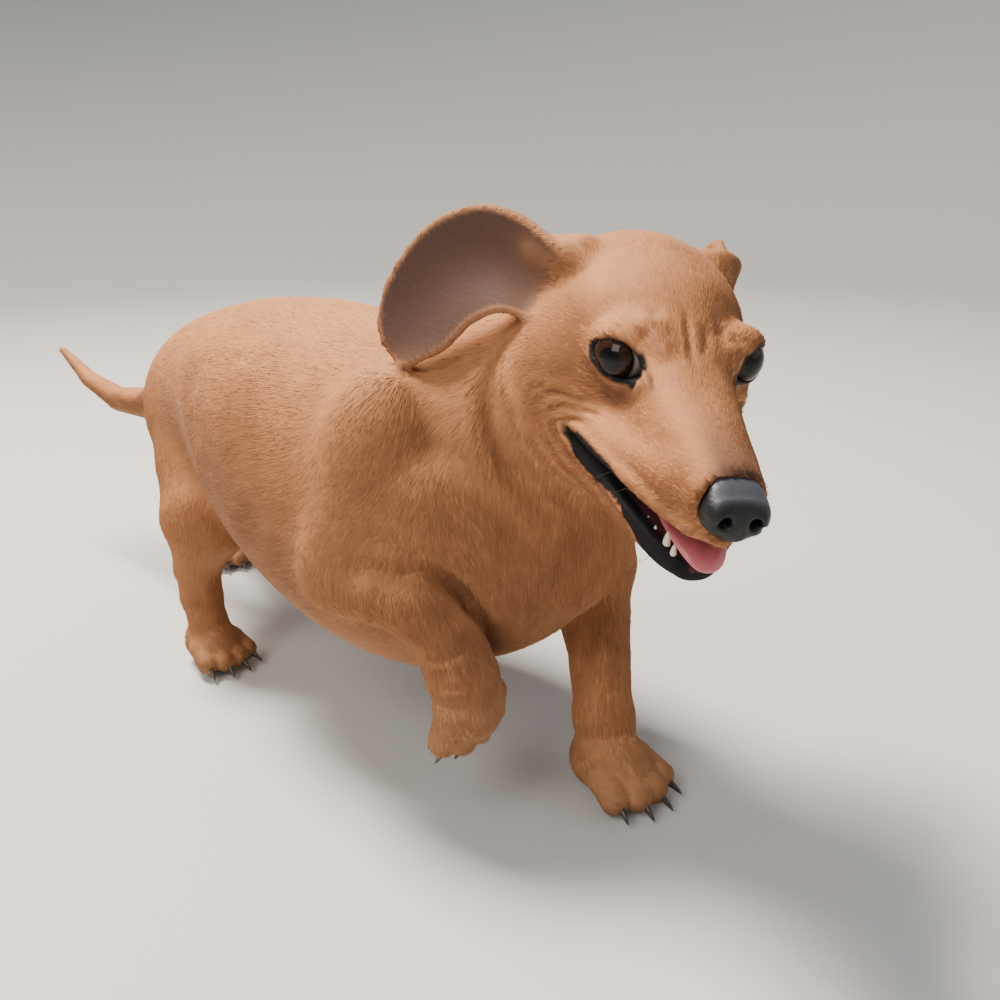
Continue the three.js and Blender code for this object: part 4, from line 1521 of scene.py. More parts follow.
class Markings:
    """The colour and bareness of every place of the skin, shared by the skin and its coat."""

    palette = Palette()

    def __init__(self, body: Body) -> None:
        """Keeps the body whose regions the markings follow."""
        self.body = body

    @staticmethod
    def towards(colours: Array, goal: Colour, share: Array) -> Array:
        """Colours moved towards a goal by a share."""
        share = np.clip(share, 0, 1)[:, None]
        return colours * (1 - share) + np.array(goal) * share

    def ear_inner(self, p: Array) -> Array:
        """Where the inside of an ear faces: the side that the cup pushes away from.

        Args:
            p: Points in millimetres.

        Returns:
            1 there, falling to 0 at the rims, on the outside and away from the ears.
        """
        out = np.zeros(len(p))
        for ear in EARS:
            close = within(p, ear.sheet, 6.0)
            if not close.any():
                continue
            u, v, s = ear.nearest(p[close])
            rel = p[close] - s
            height = (rel * ear.normal(u, v)).sum(1)
            off = np.linalg.norm(rel, axis=1)
            rim = smooth_step(0.0, 0.05, v) * smooth_step(0.0, 0.05, 1 - v) * smooth_step(0.0, 0.04, 1 - u)
            out[close] = np.maximum(out[close], smooth_step(-0.2, 0.5, -height) * (off < 3.0) * rim)
        return out

    def bare(self, p: Array) -> tuple[Array, Array, Array]:
        """Where the skin is bare.

        The black lip reaches above the slit of the mouth and below it to heights that follow X; the black
        lid is widest below the eye and at its inner corner.

        Args:
            p: Points of the skin.

        Returns:
            The shares of black lip and lid, of the mouth's lining and of a paw's pad at each.
        """
        q = HEAD.inside(p)
        x, side, z = q[:, 0], np.abs(q[:, 1]), q[:, 2]
        top, bottom = MOUTH.heights(x)
        ahead = self.body.head.near(p, 10) & (x > MOUTH.corner - 3) & (side < 36)
        lip = 1 - smooth_step(-0.8, 0.8, z - top - np.interp(x, *LIP_ABOVE))
        below = smooth_step(-0.6, 0.6, z - np.interp(x, *LIP_BOTTOM))
        lip *= below * smooth_step(MOUTH.corner - 2, MOUTH.corner, x) * ahead
        half = np.interp(x, *LINING_HALF)
        lining = ahead * (1 - smooth_step(half - 3.5, half - 1.5, side)) * (x < 66)
        lining *= (z < top + 1.5) * (z > bottom - 2.5)
        for eye in EYES:
            e = eye.own(p)
            near = (np.linalg.norm(e, axis=1) < EYE_RADIUS + 8) & (e[:, 2] > 0)
            width = 1.2 + 1.1 * smooth_step(0.0, -4.0, e[:, 1]) + 2.2 * smooth_step(6.0, 10.0, e[:, 0])
            width += 0.8 * smooth_step(-8.0, -11.0, e[:, 0])
            rim = 1 - smooth_step(-0.9, 1.1, eye.almond(e) - width)
            lip = np.maximum(lip, rim * near)
        pad = np.zeros(len(p))
        for paw in PAWS:
            for centre, radius in paw.pad_places:
                d = np.linalg.norm(p - np.array(centre), axis=1) - radius
                pad = np.maximum(pad, 1 - smooth_step(-1.2, 1.2, d))
        return lip, lining, pad

    def ground(self, p: Array, up: Array, shares: dict[str, Array]) -> Array:
        """The coat's ground colour: tan, golden where it faces up as painted light from above, creamy below
        and on the paws, and mottled.

        Args:
            p: Points of the skin.
            up: How far the skin faces up there, -1 to 1.
            shares: The regions' shares there.

        Returns:
            Linear colours, one row each.
        """
        c = self.palette
        tone = np.tile(np.array(c.coat), (len(p), 1))
        patch = mottle(p, 38, 1) + 0.5 * mottle(p, 15, 2)
        # painted light from above: gold where the skin faces up; the patches add golden tone at random
        tone = self.towards(tone, c.gold, 0.30 * smooth_step(-0.2, 0.9, up) + 0.14 * patch)
        tone = self.towards(tone, c.shade, 0.16 * mottle(p, 24, 3))
        tone = self.towards(tone, c.cream, 0.40 * smooth_step(0.2, 0.95, -up) * (1 - shares["head"]))
        paws = sum(shares[name] for name in shares if name.endswith("paw"))
        return self.towards(tone, c.cream, 0.30 * paws)

    def eye_highlight_and_shade(self, tone: Array, p: Array, head: Array) -> Array:
        """Painted highlights on the brows and painted shade under the lower lids, each a Gaussian of the
        distance to the almond.

        Args:
            tone: The colours so far.
            p: Points of the skin.
            head: The head's share there.

        Returns:
            The colours with both added.
        """
        brow = np.zeros(len(p))
        for eye in EYES:
            e = eye.own(p)
            apart = eye.almond(e)
            # painted highlight on the brow above the upper lid
            over = np.exp(-((apart - 4.4) / 2.2) ** 2) * smooth_step(-2.0, 4.0, e[:, 1]) * (e[:, 2] > -4)
            brow = np.maximum(brow, over)
            # painted shade below the lower lid
            under = np.exp(-((apart - 4.5) / 3.0) ** 2) * smooth_step(0.0, -5.0, e[:, 1]) * (e[:, 2] > 0)
            tone = self.towards(tone, self.palette.shade, 0.55 * under * head)
        return self.towards(tone, self.palette.gold, 0.8 * brow * head)

    def muzzle(self, tone: Array, q: Array, head: Array) -> Array:
        """Tear stains, the darker bridge and the dark skin round the nose leather, with black painted in
        its socket as the shade seen through the nostrils.

        Args:
            tone: The colours so far.
            q: Points of the skin in the head's frame.
            head: The head's share there.

        Returns:
            The colours with all three added.
        """
        c = self.palette
        x, y, z = q.T
        side = np.abs(y)
        tear = np.hypot(side - 15.3, (x - 18) * 0.54 + (z + 1.9) * 0.84)
        along = (x - 18) * 0.84 - (z + 1.9) * 0.54
        stain = (1 - smooth_step(0.6, 1.8, tear)) * smooth_step(-4, 0, along)
        stain *= 1 - smooth_step(5, 9, along)
        tone = self.towards(tone, c.black, 0.4 * stain * head)
        bridge = smooth_step(34, 62, x) * (1 - smooth_step(4, 12, np.abs(y - 1))) * (z > -24)
        tone = self.towards(tone, c.bridge, 0.85 * bridge * head)
        nose = np.linalg.norm((q - np.array([68.0, NOSE_Y, -22.0])) * np.array([0.9, 1.0, 1.1]), axis=1)
        grey = (1 - smooth_step(9.0, 12.5, nose)) * smooth_step(-32, -27, z)
        tone = self.towards(tone, c.black, 0.55 * grey * head)
        # painted shade: black in the socket behind the nose leather, seen deep in the nostrils
        socket = (1 - smooth_step(-1.2, 0.4, NOSE_BLOCK.distance(q))) * (x > 60)
        return self.towards(tone, c.black, socket)

    def colours(self, p: Array, normals: Array) -> Array:
        """The skin's colours, laid on one after another.

        The ground comes first, then the marks of the face, painted shade on the chest, painted shade in the
        folds and painted highlights on their banks, golden streaks along the body, the ears, and the bare
        skin last.

        Args:
            p: Points of the skin in millimetres.
            normals: The skin's normals there.

        Returns:
            Linear colours, one row each.
        """
        c = self.palette
        shares = self.body.shares(p)
        head = shares["head"]
        q = HEAD.inside(p)
        tone = self.ground(p, normals[:, 2], shares)
        tone = self.eye_highlight_and_shade(tone, p, head)
        folded = np.stack([q[:, 0], np.abs(q[:, 1]), q[:, 2]], 1)
        for spot in GOLD_SPOTS:
            tone = self.towards(tone, c.gold, spot.strength * bell(folded, spot.middle, spot.widths) * head)
        # painted shade on the chest, which lies under the head and neck
        chest_shade = bell(p, (128.0, -35.0, 112.0), (48.0, 45.0, 42.0))
        tone = self.towards(tone, c.shade, 0.55 * chest_shade)
        tone = self.muzzle(tone, q, head)
        # painted shade in the hollows of the folds and painted highlights on their banks
        fold = self.body.creased(p)
        tone = self.towards(tone, c.shade, np.clip(fold, 0, 1) * (0.12 + 0.45 * head))
        tone = self.towards(tone, c.gold, np.clip(-fold, 0, 0.6) * (0.3 + 0.9 * head))
        streak = mottle(p * np.array([0.3, 1.0, 1.0]), 4.5, 4)
        tone = self.towards(tone, c.gold, 0.22 * streak * (1 - head))
        flap = shares["ear_right"] + shares["ear_left"]
        tone = self.towards(tone, c.ear_outside, 0.6 * flap)
        # inside the ears: barer skin, with painted shade in the cup
        tone = self.towards(tone, c.ear_inside_and_shade, 0.95 * self.ear_inner(p) * flap)
        lip, lining, pad = self.bare(p)
        tone = self.towards(tone, c.pad, pad)
        tone = self.towards(tone, c.black, lip)
        return self.towards(tone, c.mouth, lining)


# Node trees


class Nodes:
    """A short way to write node trees."""

    def __init__(self, tree: bpy.types.NodeTree) -> None:
        """Keeps the tree and empties it."""
        self.tree = tree
        tree.nodes.clear()

    def add(self, kind: str, **values: object) -> bpy.types.Node:
        """Adds a node.

        Args:
            kind: The node's type in Blender.
            values: Its properties, or its sockets' values, under their names with _ for a space.

        Returns:
            The new node.
        """
        node = self.tree.nodes.new(kind)
        for name, value in values.items():
            if hasattr(node, name):
                setattr(node, name, value)
            else:
                node.inputs[name.replace("_", " ")].default_value = value
        return node

    def link(self, source: bpy.types.NodeSocket, goal: bpy.types.NodeSocket) -> None:
        """Joins two sockets."""
        self.tree.links.new(source, goal)


def fur_grain() -> bpy.types.ShaderNodeTree:
    """A group that gives fine hair streaks, from a stretched noise of object coordinates.

    The colour comes out times 1 + contrast (noise - 0.5), and the noise itself as the height.

    Returns:
        The group, with inputs Fine, Contrast and Colour and outputs Colour and Height.
    """
    tree = bpy.data.node_groups.new("fur_grain", "ShaderNodeTree")
    nodes = Nodes(tree)
    for name, value in (("Fine", 900.0), ("Contrast", 0.3)):
        tree.interface.new_socket(name, in_out="INPUT", socket_type="NodeSocketFloat").default_value = value
    tree.interface.new_socket("Colour", in_out="INPUT", socket_type="NodeSocketColor")
    tree.interface.new_socket("Colour", in_out="OUTPUT", socket_type="NodeSocketColor")
    tree.interface.new_socket("Height", in_out="OUTPUT", socket_type="NodeSocketFloat")
    source, goal = nodes.add("NodeGroupInput"), nodes.add("NodeGroupOutput")
    where = nodes.add("ShaderNodeTexCoord")
    stretch = nodes.add("ShaderNodeMapping", Scale=(0.25, 1.0, 0.6))
    nodes.link(where.outputs["Object"], stretch.inputs["Vector"])
    noise = nodes.add("ShaderNodeTexNoise", Detail=4.0, Roughness=0.65)
    nodes.link(stretch.outputs["Vector"], noise.inputs["Vector"])
    nodes.link(source.outputs["Fine"], noise.inputs["Scale"])
    centred = nodes.add("ShaderNodeMath", operation="SUBTRACT")
    centred.inputs[1].default_value = 0.5
    nodes.link(noise.outputs["Fac"], centred.inputs[0])
    strength = nodes.add("ShaderNodeMath", operation="MULTIPLY")
    nodes.link(centred.outputs["Value"], strength.inputs[0])
    nodes.link(source.outputs["Contrast"], strength.inputs[1])
    shade = nodes.add("ShaderNodeMath", operation="ADD")
    shade.inputs[1].default_value = 1.0
    nodes.link(strength.outputs["Value"], shade.inputs[0])
    scale = nodes.add("ShaderNodeVectorMath", operation="SCALE")
    nodes.link(source.outputs["Colour"], scale.inputs[0])
    nodes.link(shade.outputs["Value"], scale.inputs["Scale"])
    nodes.link(scale.outputs["Vector"], goal.inputs["Colour"])
    nodes.link(noise.outputs["Fac"], goal.inputs["Height"])
    return tree


@dataclass(frozen=True)
class Finish:
    """A surface finish: how it shines, and a plain colour, without which it takes the painted tone."""

    name: str
    roughness: float = 0.6
    colour: Colour | None = None
    coat: float = 0.0
    coat_roughness: float = 0.1
    specular: float = 0.4
    subsurface: float = 0.0
    flesh_radius: Vec = (0.006, 0.0025, 0.0015)
    flesh_scale: float = 0.4
    grain: float = 0.0
    grain_size: float = 900.0
    bump: float = 0.0
    bump_depth: float = 0.0006

    def material(self) -> bpy.types.Material:
        """Builds the material: painted tone or colour, grain group, bump and the shader's own sockets."""
        made = bpy.data.materials.new(self.name)
        made.use_nodes = True
        nodes = Nodes(made.node_tree)
        shader = nodes.add(
            "ShaderNodeBsdfPrincipled",
            Roughness=self.roughness,
            Coat_Weight=self.coat,
            Coat_Roughness=self.coat_roughness,
            Specular_IOR_Level=self.specular,
            Subsurface_Weight=self.subsurface,
            Subsurface_Radius=self.flesh_radius,
            Subsurface_Scale=self.flesh_scale,
        )
        output = nodes.add("ShaderNodeOutputMaterial")
        nodes.link(shader.outputs["BSDF"], output.inputs["Surface"])
        grain = nodes.add("ShaderNodeGroup", node_tree=GRAIN, Fine=self.grain_size, Contrast=self.grain)
        if self.colour is None:
            tone = nodes.add("ShaderNodeAttribute", attribute_name="tone")
            nodes.link(tone.outputs["Color"], grain.inputs["Colour"])
        else:
            grain.inputs["Colour"].default_value = (*self.colour, 1)
        nodes.link(grain.outputs["Colour"], shader.inputs["Base Color"])
        if self.bump:
            bump = nodes.add("ShaderNodeBump", Strength=self.bump, Distance=self.bump_depth)
            nodes.link(grain.outputs["Height"], bump.inputs["Height"])
            nodes.link(bump.outputs["Normal"], shader.inputs["Normal"])
        return made


GRAIN = fur_grain()


# Pieces


@dataclass
class Skin:
    """The one skin that stands for every node of flesh.

    Its grid has (place, spacing) stations along each axis, closest over the head and the ears.
    """

    body: Body
    markings: Markings
    across: Table = (
        (-432, 6.0), (-275, 3.6), (-210, 3.6), (-190, 6.0), (-130, 6.0), (-110, 3.4), (-65, 3.4),
        (-45, 6.0), (50, 4.8), (92, 2.6), (104, 1.65), (165, 1.6), (195, 1.32), (290, 1.3), (318, 1.7),
    )
    sideways: Table = ((-122, 1.55), (-66, 1.55), (-50, 1.4), (22, 1.4), (40, 1.9), (60, 2.6), (104, 3.6))
    upwards: Table = (
        (-6, 2.0), (38, 2.2), (60, 3.2), (140, 3.1), (168, 1.5), (190, 1.38), (262, 1.4), (292, 1.75),
    )
    below_soles: float = 0.4
    replaced: tuple[str, ...] = (
        "torso", "neck", "head", "muzzle", "lower_jaw", "tail", "ear_right", "ear_left",
        "right_foreleg", "left_foreleg", "right_hindleg", "left_hindleg",
        "right_forepaw", "left_forepaw", "right_hindpaw", "left_hindpaw",
    )
    net: Net | None = field(default=None, init=False)
    normals: Array | None = field(default=None, init=False)

    def build(self) -> bpy.types.Object:
        """Meshes the body, paints it and dresses it."""
        axes = tuple(spaced(s) for s in (self.across, self.sideways, self.upwards))
        net = Mesher(self.floored, axes).net()
        self.net = net
        self.normals = vertex_normals(net)
        piece = add_mesh("skin", net)
        paint(piece, "tone", self.markings.colours(net.vertices, self.normals))
        finish = Finish(
            "coat_skin", roughness=0.65, specular=0.12, grain=0.3, grain_size=800, bump=0.35
        )
        wear(piece, finish.material(), "coat", *self.replaced)
        return piece

    def floored(self, p: Array) -> Array:
        """The body above the floor: the greater of its distance and the depth below the soles."""
        return np.maximum(self.body.distance(p), self.below_soles - p[:, 2])


@dataclass
class Eyeball:
    """An eyeball with a domed cornea, a brown iris and a large pupil, whose sizes are angles."""

    eye: Eye
    name: str
    gaze: Vec
    iris: float = 0.88
    pupil: float = 0.42
    dome: float = 0.5
    rings: int = 48
    spokes: int = 64
    white: Colour = (0.42, 0.36, 0.31)
    brown: Colour = (0.020, 0.008, 0.004)
    dark: float = 0.002

    def build(self) -> bpy.types.Object:
        """A sphere of rings round the gaze, its front raised by dome times a bell over the iris."""
        tilt = np.linspace(0, math.pi, self.rings)[:, None]
        turn = np.linspace(0, 2 * math.pi, self.spokes, endpoint=False)[None]
        radius = EYE_RADIUS + self.dome * np.exp(-((tilt / self.iris) ** 4))
        x, y = np.sin(tilt) * np.cos(turn), np.sin(tilt) * np.sin(turn)
        ball = np.stack([x, y, np.cos(tilt) * np.ones_like(turn)], -1)
        axes = looking(HEAD.way(self.gaze), HEAD.way((0, 0, 1)))
        points = (ball * radius[..., None]).reshape(-1, 3) @ axes + self.eye.centre
        for pole in (slice(None, self.spokes), slice(-self.spokes, None)):
            points[pole] = points[pole].mean(0)
        piece = add_mesh(self.name, Net(points, ring_faces(self.rings, self.spokes)))
        paint(piece, "tone", self.tones(tilt, turn))
        finish = Finish(self.name + "_wet", roughness=0.2, coat=0.35, coat_roughness=0.02, specular=0.05)
        wear(piece, finish.material(), "eye", self.name)
        return piece

    def tones(self, tilt: Array, turn: Array) -> Array:
        """The eyeball's colours: white, the iris with fibres by two sines, its dark rim and the pupil.

        Args:
            tilt: Angles from the gaze, one for each ring.
            turn: Angles round it, one for each spoke.

        Returns:
            Linear colours, one row for each vertex.
        """
        angle = np.broadcast_to(tilt, (self.rings, self.spokes)).reshape(-1)
        spread = np.broadcast_to(turn, (self.rings, self.spokes)).reshape(-1)
        tone = np.tile(np.array(self.white), (len(angle), 1))
        fibres = 1 + 0.35 * np.sin(spread * 23) * np.sin(spread * 7 + 1)
        limbus = 1 - smooth_step(self.iris, self.iris + 0.1, angle)
        brown = np.array(self.brown) * fibres[:, None]
        tone = tone * (1 - limbus[:, None]) + brown * limbus[:, None]
        rim = np.exp(-((angle - self.iris) / 0.07) ** 2)
        tone = tone * (1 - 0.8 * rim[:, None])
        dark = 1 - smooth_step(self.pupil - 0.03, self.pupil + 0.03, angle)
        return tone * (1 - dark[:, None]) + self.dark * dark[:, None]


@dataclass
class Nose:
    """The nose leather: a rounded pad with comma-shaped nostrils and a groove below."""

    cell: float = 0.75
    leather: Colour = (0.006, 0.0065, 0.008)
    # painted reflection of the sky on the leather's up-facing top
    sky_reflection: Colour = (0.045, 0.049, 0.062)
    # pinkish tint at the back of that top: the leather's edge towards the fur, and painted highlight
    back_tint_and_highlight: Colour = (0.10, 0.07, 0.07)

    def distance(self, p: Array) -> Array:
        """The bulk with nostrils, the slits beside them and the groove carved out.

        Args:
            p: Points of the body's space.

        Returns:
            The distances.
        """
        q = HEAD.inside(p)
        d = nose_bulk(q)
        for s in Side:
            hole = limb(((81.5, s * 4.6 + NOSE_Y, -26.4), 2.2), ((72.0, s * 5.4 + NOSE_Y, -25.8), 2.0))
            slit = limb(
                ((79, s * 5.4 + NOSE_Y, -27.4), 1.5),
                ((76, s * 9.4 + NOSE_Y, -28.6), 1.1),
                ((70, s * 11.8 + NOSE_Y, -27.2), 0.8),
            )
            d = carve(d, np.minimum(hole.distance(q), slit.distance(q)), 1.2)
        groove = limb(((79.5, NOSE_Y, -25.0), 0.25), ((76.5, NOSE_Y, -34.5), 0.7))
        return carve(d, groove.distance(q), 1.4) * HEAD_SCALE

    def build(self) -> bpy.types.Object:
        """Meshes the nose in a box round its place: black, with a painted sky reflection where it faces up,
        pinkish at the back.
        """
        corners = HEAD.place(np.array([[x, y, z] for x in (54, 86) for y in (-16, 16) for z in (-39, -8)]))
        axes = tuple(np.arange(a, b, self.cell) for a, b in zip(corners.min(0), corners.max(0)))
        net = Mesher(self.distance, axes).net()
        piece = add_mesh("nose_leather", net)
        q = HEAD.inside(net.vertices)
        up = vertex_normals(net) @ HEAD.way((0.25, 0, 1))
        # painted reflection of the sky where the leather faces up, pinkish at the back near the fur
        grey = smooth_step(0.45, 0.85, up) * (1 - smooth_step(74, 78, q[:, 0]))
        back = grey * (1 - smooth_step(60, 68, q[:, 0]))
        tone = np.array(self.leather) + grey[:, None] * np.array(self.sky_reflection)
        paint(piece, "tone", tone + back[:, None] * np.array(self.back_tint_and_highlight))
        finish = Finish(
            "nose_leather", roughness=0.45, specular=0.25, coat=0.12, coat_roughness=0.25,
            grain=0.5, grain_size=1400, bump=0.55, bump_depth=0.0005,
        )
        wear(piece, finish.material(), "nose_leather", "nose")
        return piece


@dataclass
class Tongue:
    """The tongue: a flat ellipsoid with a groove along it, lying on the lower jaw."""

    length: float = 28.5
    width: float = 11.2
    thick: float = 3.6
    slope: float = 0.19
    middle: Vec = (38.0, 0.5, -43.2)
    rings: int = 40
    spokes: int = 64

    def build(self) -> bpy.types.Object:
        """A closed grid over an ellipsoid, lowered along its middle by a Gaussian groove.

        Its tip bends down as a parabola of x, and its edges rise as one of y.
        """
        tilt = np.linspace(0, math.pi, self.rings)[:, None]
        turn = np.linspace(0, 2 * math.pi, self.spokes, endpoint=False)[None]
        x = self.length * np.cos(tilt) * np.ones_like(turn)
        y = self.width * np.sin(tilt) ** 0.8 * np.cos(turn)
        z = self.thick * np.sin(tilt) ** 0.8 * np.sin(turn)
        z = z - 1.1 * np.exp(-((y / 2.2) ** 2)) * (z > 0) * np.sin(tilt)
        z = z - 1.6 * np.clip((x - 16) / 12, 0, 1) ** 2 + 1.6 * (y / self.width) ** 2
        cos, sin = math.cos(self.slope), math.sin(self.slope)
        own = np.stack([x * cos + z * sin, y, z * cos - x * sin], -1).reshape(-1, 3) + np.array(self.middle)
        faces = ring_faces(self.rings, self.spokes)[:, ::-1]
        piece = add_mesh("tongue_flesh", Net(HEAD.place(own), faces))
        finish = Finish(
            "tongue_flesh", roughness=0.35, colour=(0.52, 0.13, 0.15), coat=0.5, coat_roughness=0.15,
            subsurface=0.25, grain=0.35, grain_size=1500, bump=0.5, bump_depth=0.0004,
        )
        wear(piece, finish.material(), "tongue", "tongue")
        return piece


def horn(path: Array, radii: Array, sides: int = 10) -> tuple[Array, Array]:
    """A tapering horn: rings round a path, closed at both ends.

    Args:
        path: Points along the horn, from root to tip.
        radii: The radius at each point, as (rows, 2) for two half axes, or (rows,).
        sides: Points on each ring.

    Returns:
        Vertices, and triangles that face outwards.
    """
    radii = np.asarray(radii, float)
    if radii.ndim == 1:
        radii = np.stack([radii, radii], 1)
    along = unit(np.gradient(path, axis=0))
    side = unit(np.cross(along, [0.13, 0.31, 0.94]))
    up = np.cross(side, along)
    angle = np.linspace(0, 2 * math.pi, sides, endpoint=False)
    rings = (path[:, None] + radii[:, None, :1] * np.cos(angle)[None, :, None] * side[:, None]
             + radii[:, None, 1:] * np.sin(angle)[None, :, None] * up[:, None])
    count = len(path)
    vertices = np.vstack([rings.reshape(-1, 3), path[:1], path[-1:]])
    quads = ring_faces(count, sides)[:, [0, 3, 2, 1]]
    body = np.vstack([quads[:, [0, 1, 2]], quads[:, [0, 2, 3]]])
    j = np.arange(sides)
    k = (j + 1) % sides
    root = np.stack([k, j, np.full(sides, count * sides)], 1)
    tip = np.stack([j, k, np.full(sides, count * sides + 1)], 1) + np.array([(count - 1) * sides] * 2 + [0])
    return vertices, np.vstack([body, root, tip])


def joined(parts: list[tuple[Array, Array]]) -> Net:
    """Several meshes as one net."""
    starts = np.cumsum([0] + [len(v) for v, _ in parts[:-1]])
    return Net(np.vstack([v for v, _ in parts]), np.vstack([f + s for (_, f), s in zip(parts, starts)]))


@dataclass
class Claws:
    """Curved dark claws on every toe."""

    length: float = 11.5
    radius: float = 2.35
    root: float = 2.2
    bend: float = 0.30
    slope: float = 0.08
    clearance: float = 0.3

    def build(self) -> bpy.types.Object:
        """Each claw bends down on a parabola as it runs ahead of its toe, and stays above the floor."""
        parts = []
        t = np.linspace(0, 1, 9)[:, None]
        for paw in PAWS:
            down = -paw.axes[2]
            for _, tip, out in paw.toes:
                way = unit(np.subtract(out, tip))
                root = np.array(tip) + self.root * paw.size * way
                path = root + self.length * (t * way + self.bend * (t * t) * down - self.slope * t * down)
                taper = self.radius * paw.size * np.sqrt(np.clip(1 - t[:, 0], 0.004, 1))
                path[:, 2] = np.maximum(path[:, 2], taper + self.clearance)
                parts.append(horn(path, np.stack([taper * 0.8, taper], 1)))
        piece = add_mesh("claws", joined(parts))
        finish = Finish(
            "claw_horn", roughness=0.35, colour=(0.035, 0.022, 0.018), coat=0.3, grain=0.5, grain_size=600
        )
        wear(piece, finish.material(), "coat")
        return piece


@dataclass
class Teeth:
    """Lower teeth that show beside the tongue, each an (x, side, top, radius) in the head's frame."""

    lower: Table = (
        (52, 9.6, -43.4, 1.9), (56, 8.3, -46.0, 1.6), (46, 11.8, -44.8, 1.4), (41, 12.9, -44.0, 1.4),
    )

    def build(self) -> bpy.types.Object:
        """Each tooth is a short horn that leans slightly back and out."""
        parts = []
        t = np.linspace(0, 1, 7)[:, None]
        for s in Side:
            for x, y, top, radius in self.lower:
                root = np.array([x + 0.6, s * y, top - 4.2 * radius])
                tip = np.array([x - 0.4, s * (y + 0.3), top])
                taper = radius * np.sqrt(np.clip(1 - t[:, 0] ** 1.6, 0.01, 1))
                parts.append(horn(HEAD.place(root * (1 - t) + tip * t), taper))
        piece = add_mesh("teeth", joined(parts))
        finish = Finish("tooth_enamel", roughness=0.25, colour=(0.75, 0.66, 0.50), coat=0.5, subsurface=0.15)
        wear(piece, finish.material(), "tongue")
        return piece


@dataclass
class Whiskers:
    """Long stiff hairs on the lips, on the chin and over the eyes, each an (x, side, z, length)."""

    thickness: float = 0.10
    roots: Table = (
        (34, 15, -27, 22), (44, 13, -28, 20), (50, 11, -24, 16), (42, 10, -59, 12), (5, 19, 9, 15),
    )

    def build(self) -> bpy.types.Object:
        """Each leaves its root outwards and back, and bends down as t squared."""
        parts = []
        t = np.linspace(0, 1, 9)[:, None]
        bend = np.array([-0.2, 0.0, -0.28])
        for s in Side:
            for x, y, z, length in self.roots:
                way = unit(np.array([-0.45, s, 0.02 * z]))
                path = HEAD.place(np.array([x, s * y, z]) + length * (t * way + t * t * bend))
                parts.append(horn(path, self.thickness * np.sqrt(1.02 - t[:, 0]), 5))
        piece = add_mesh("whiskers", joined(parts))
        finish = Finish("whisker_hair", roughness=0.4, colour=(0.06, 0.035, 0.022))
        wear(piece, finish.material(), "coat")
        return piece


@dataclass(frozen=True)
class Tufts:
    """Tufts of four vertices each, and what goes with them.

    A tuft's vertices are its left and right feet, its ridge and its tip, and its faces close them.
    """

    roots: Array
    vertices: Array
    normals: Array
    tones: Array

    corners: int = 4
    faces: tuple[tuple[int, int, int], ...] = ((0, 3, 2), (1, 2, 3), (0, 1, 3), (0, 2, 1))


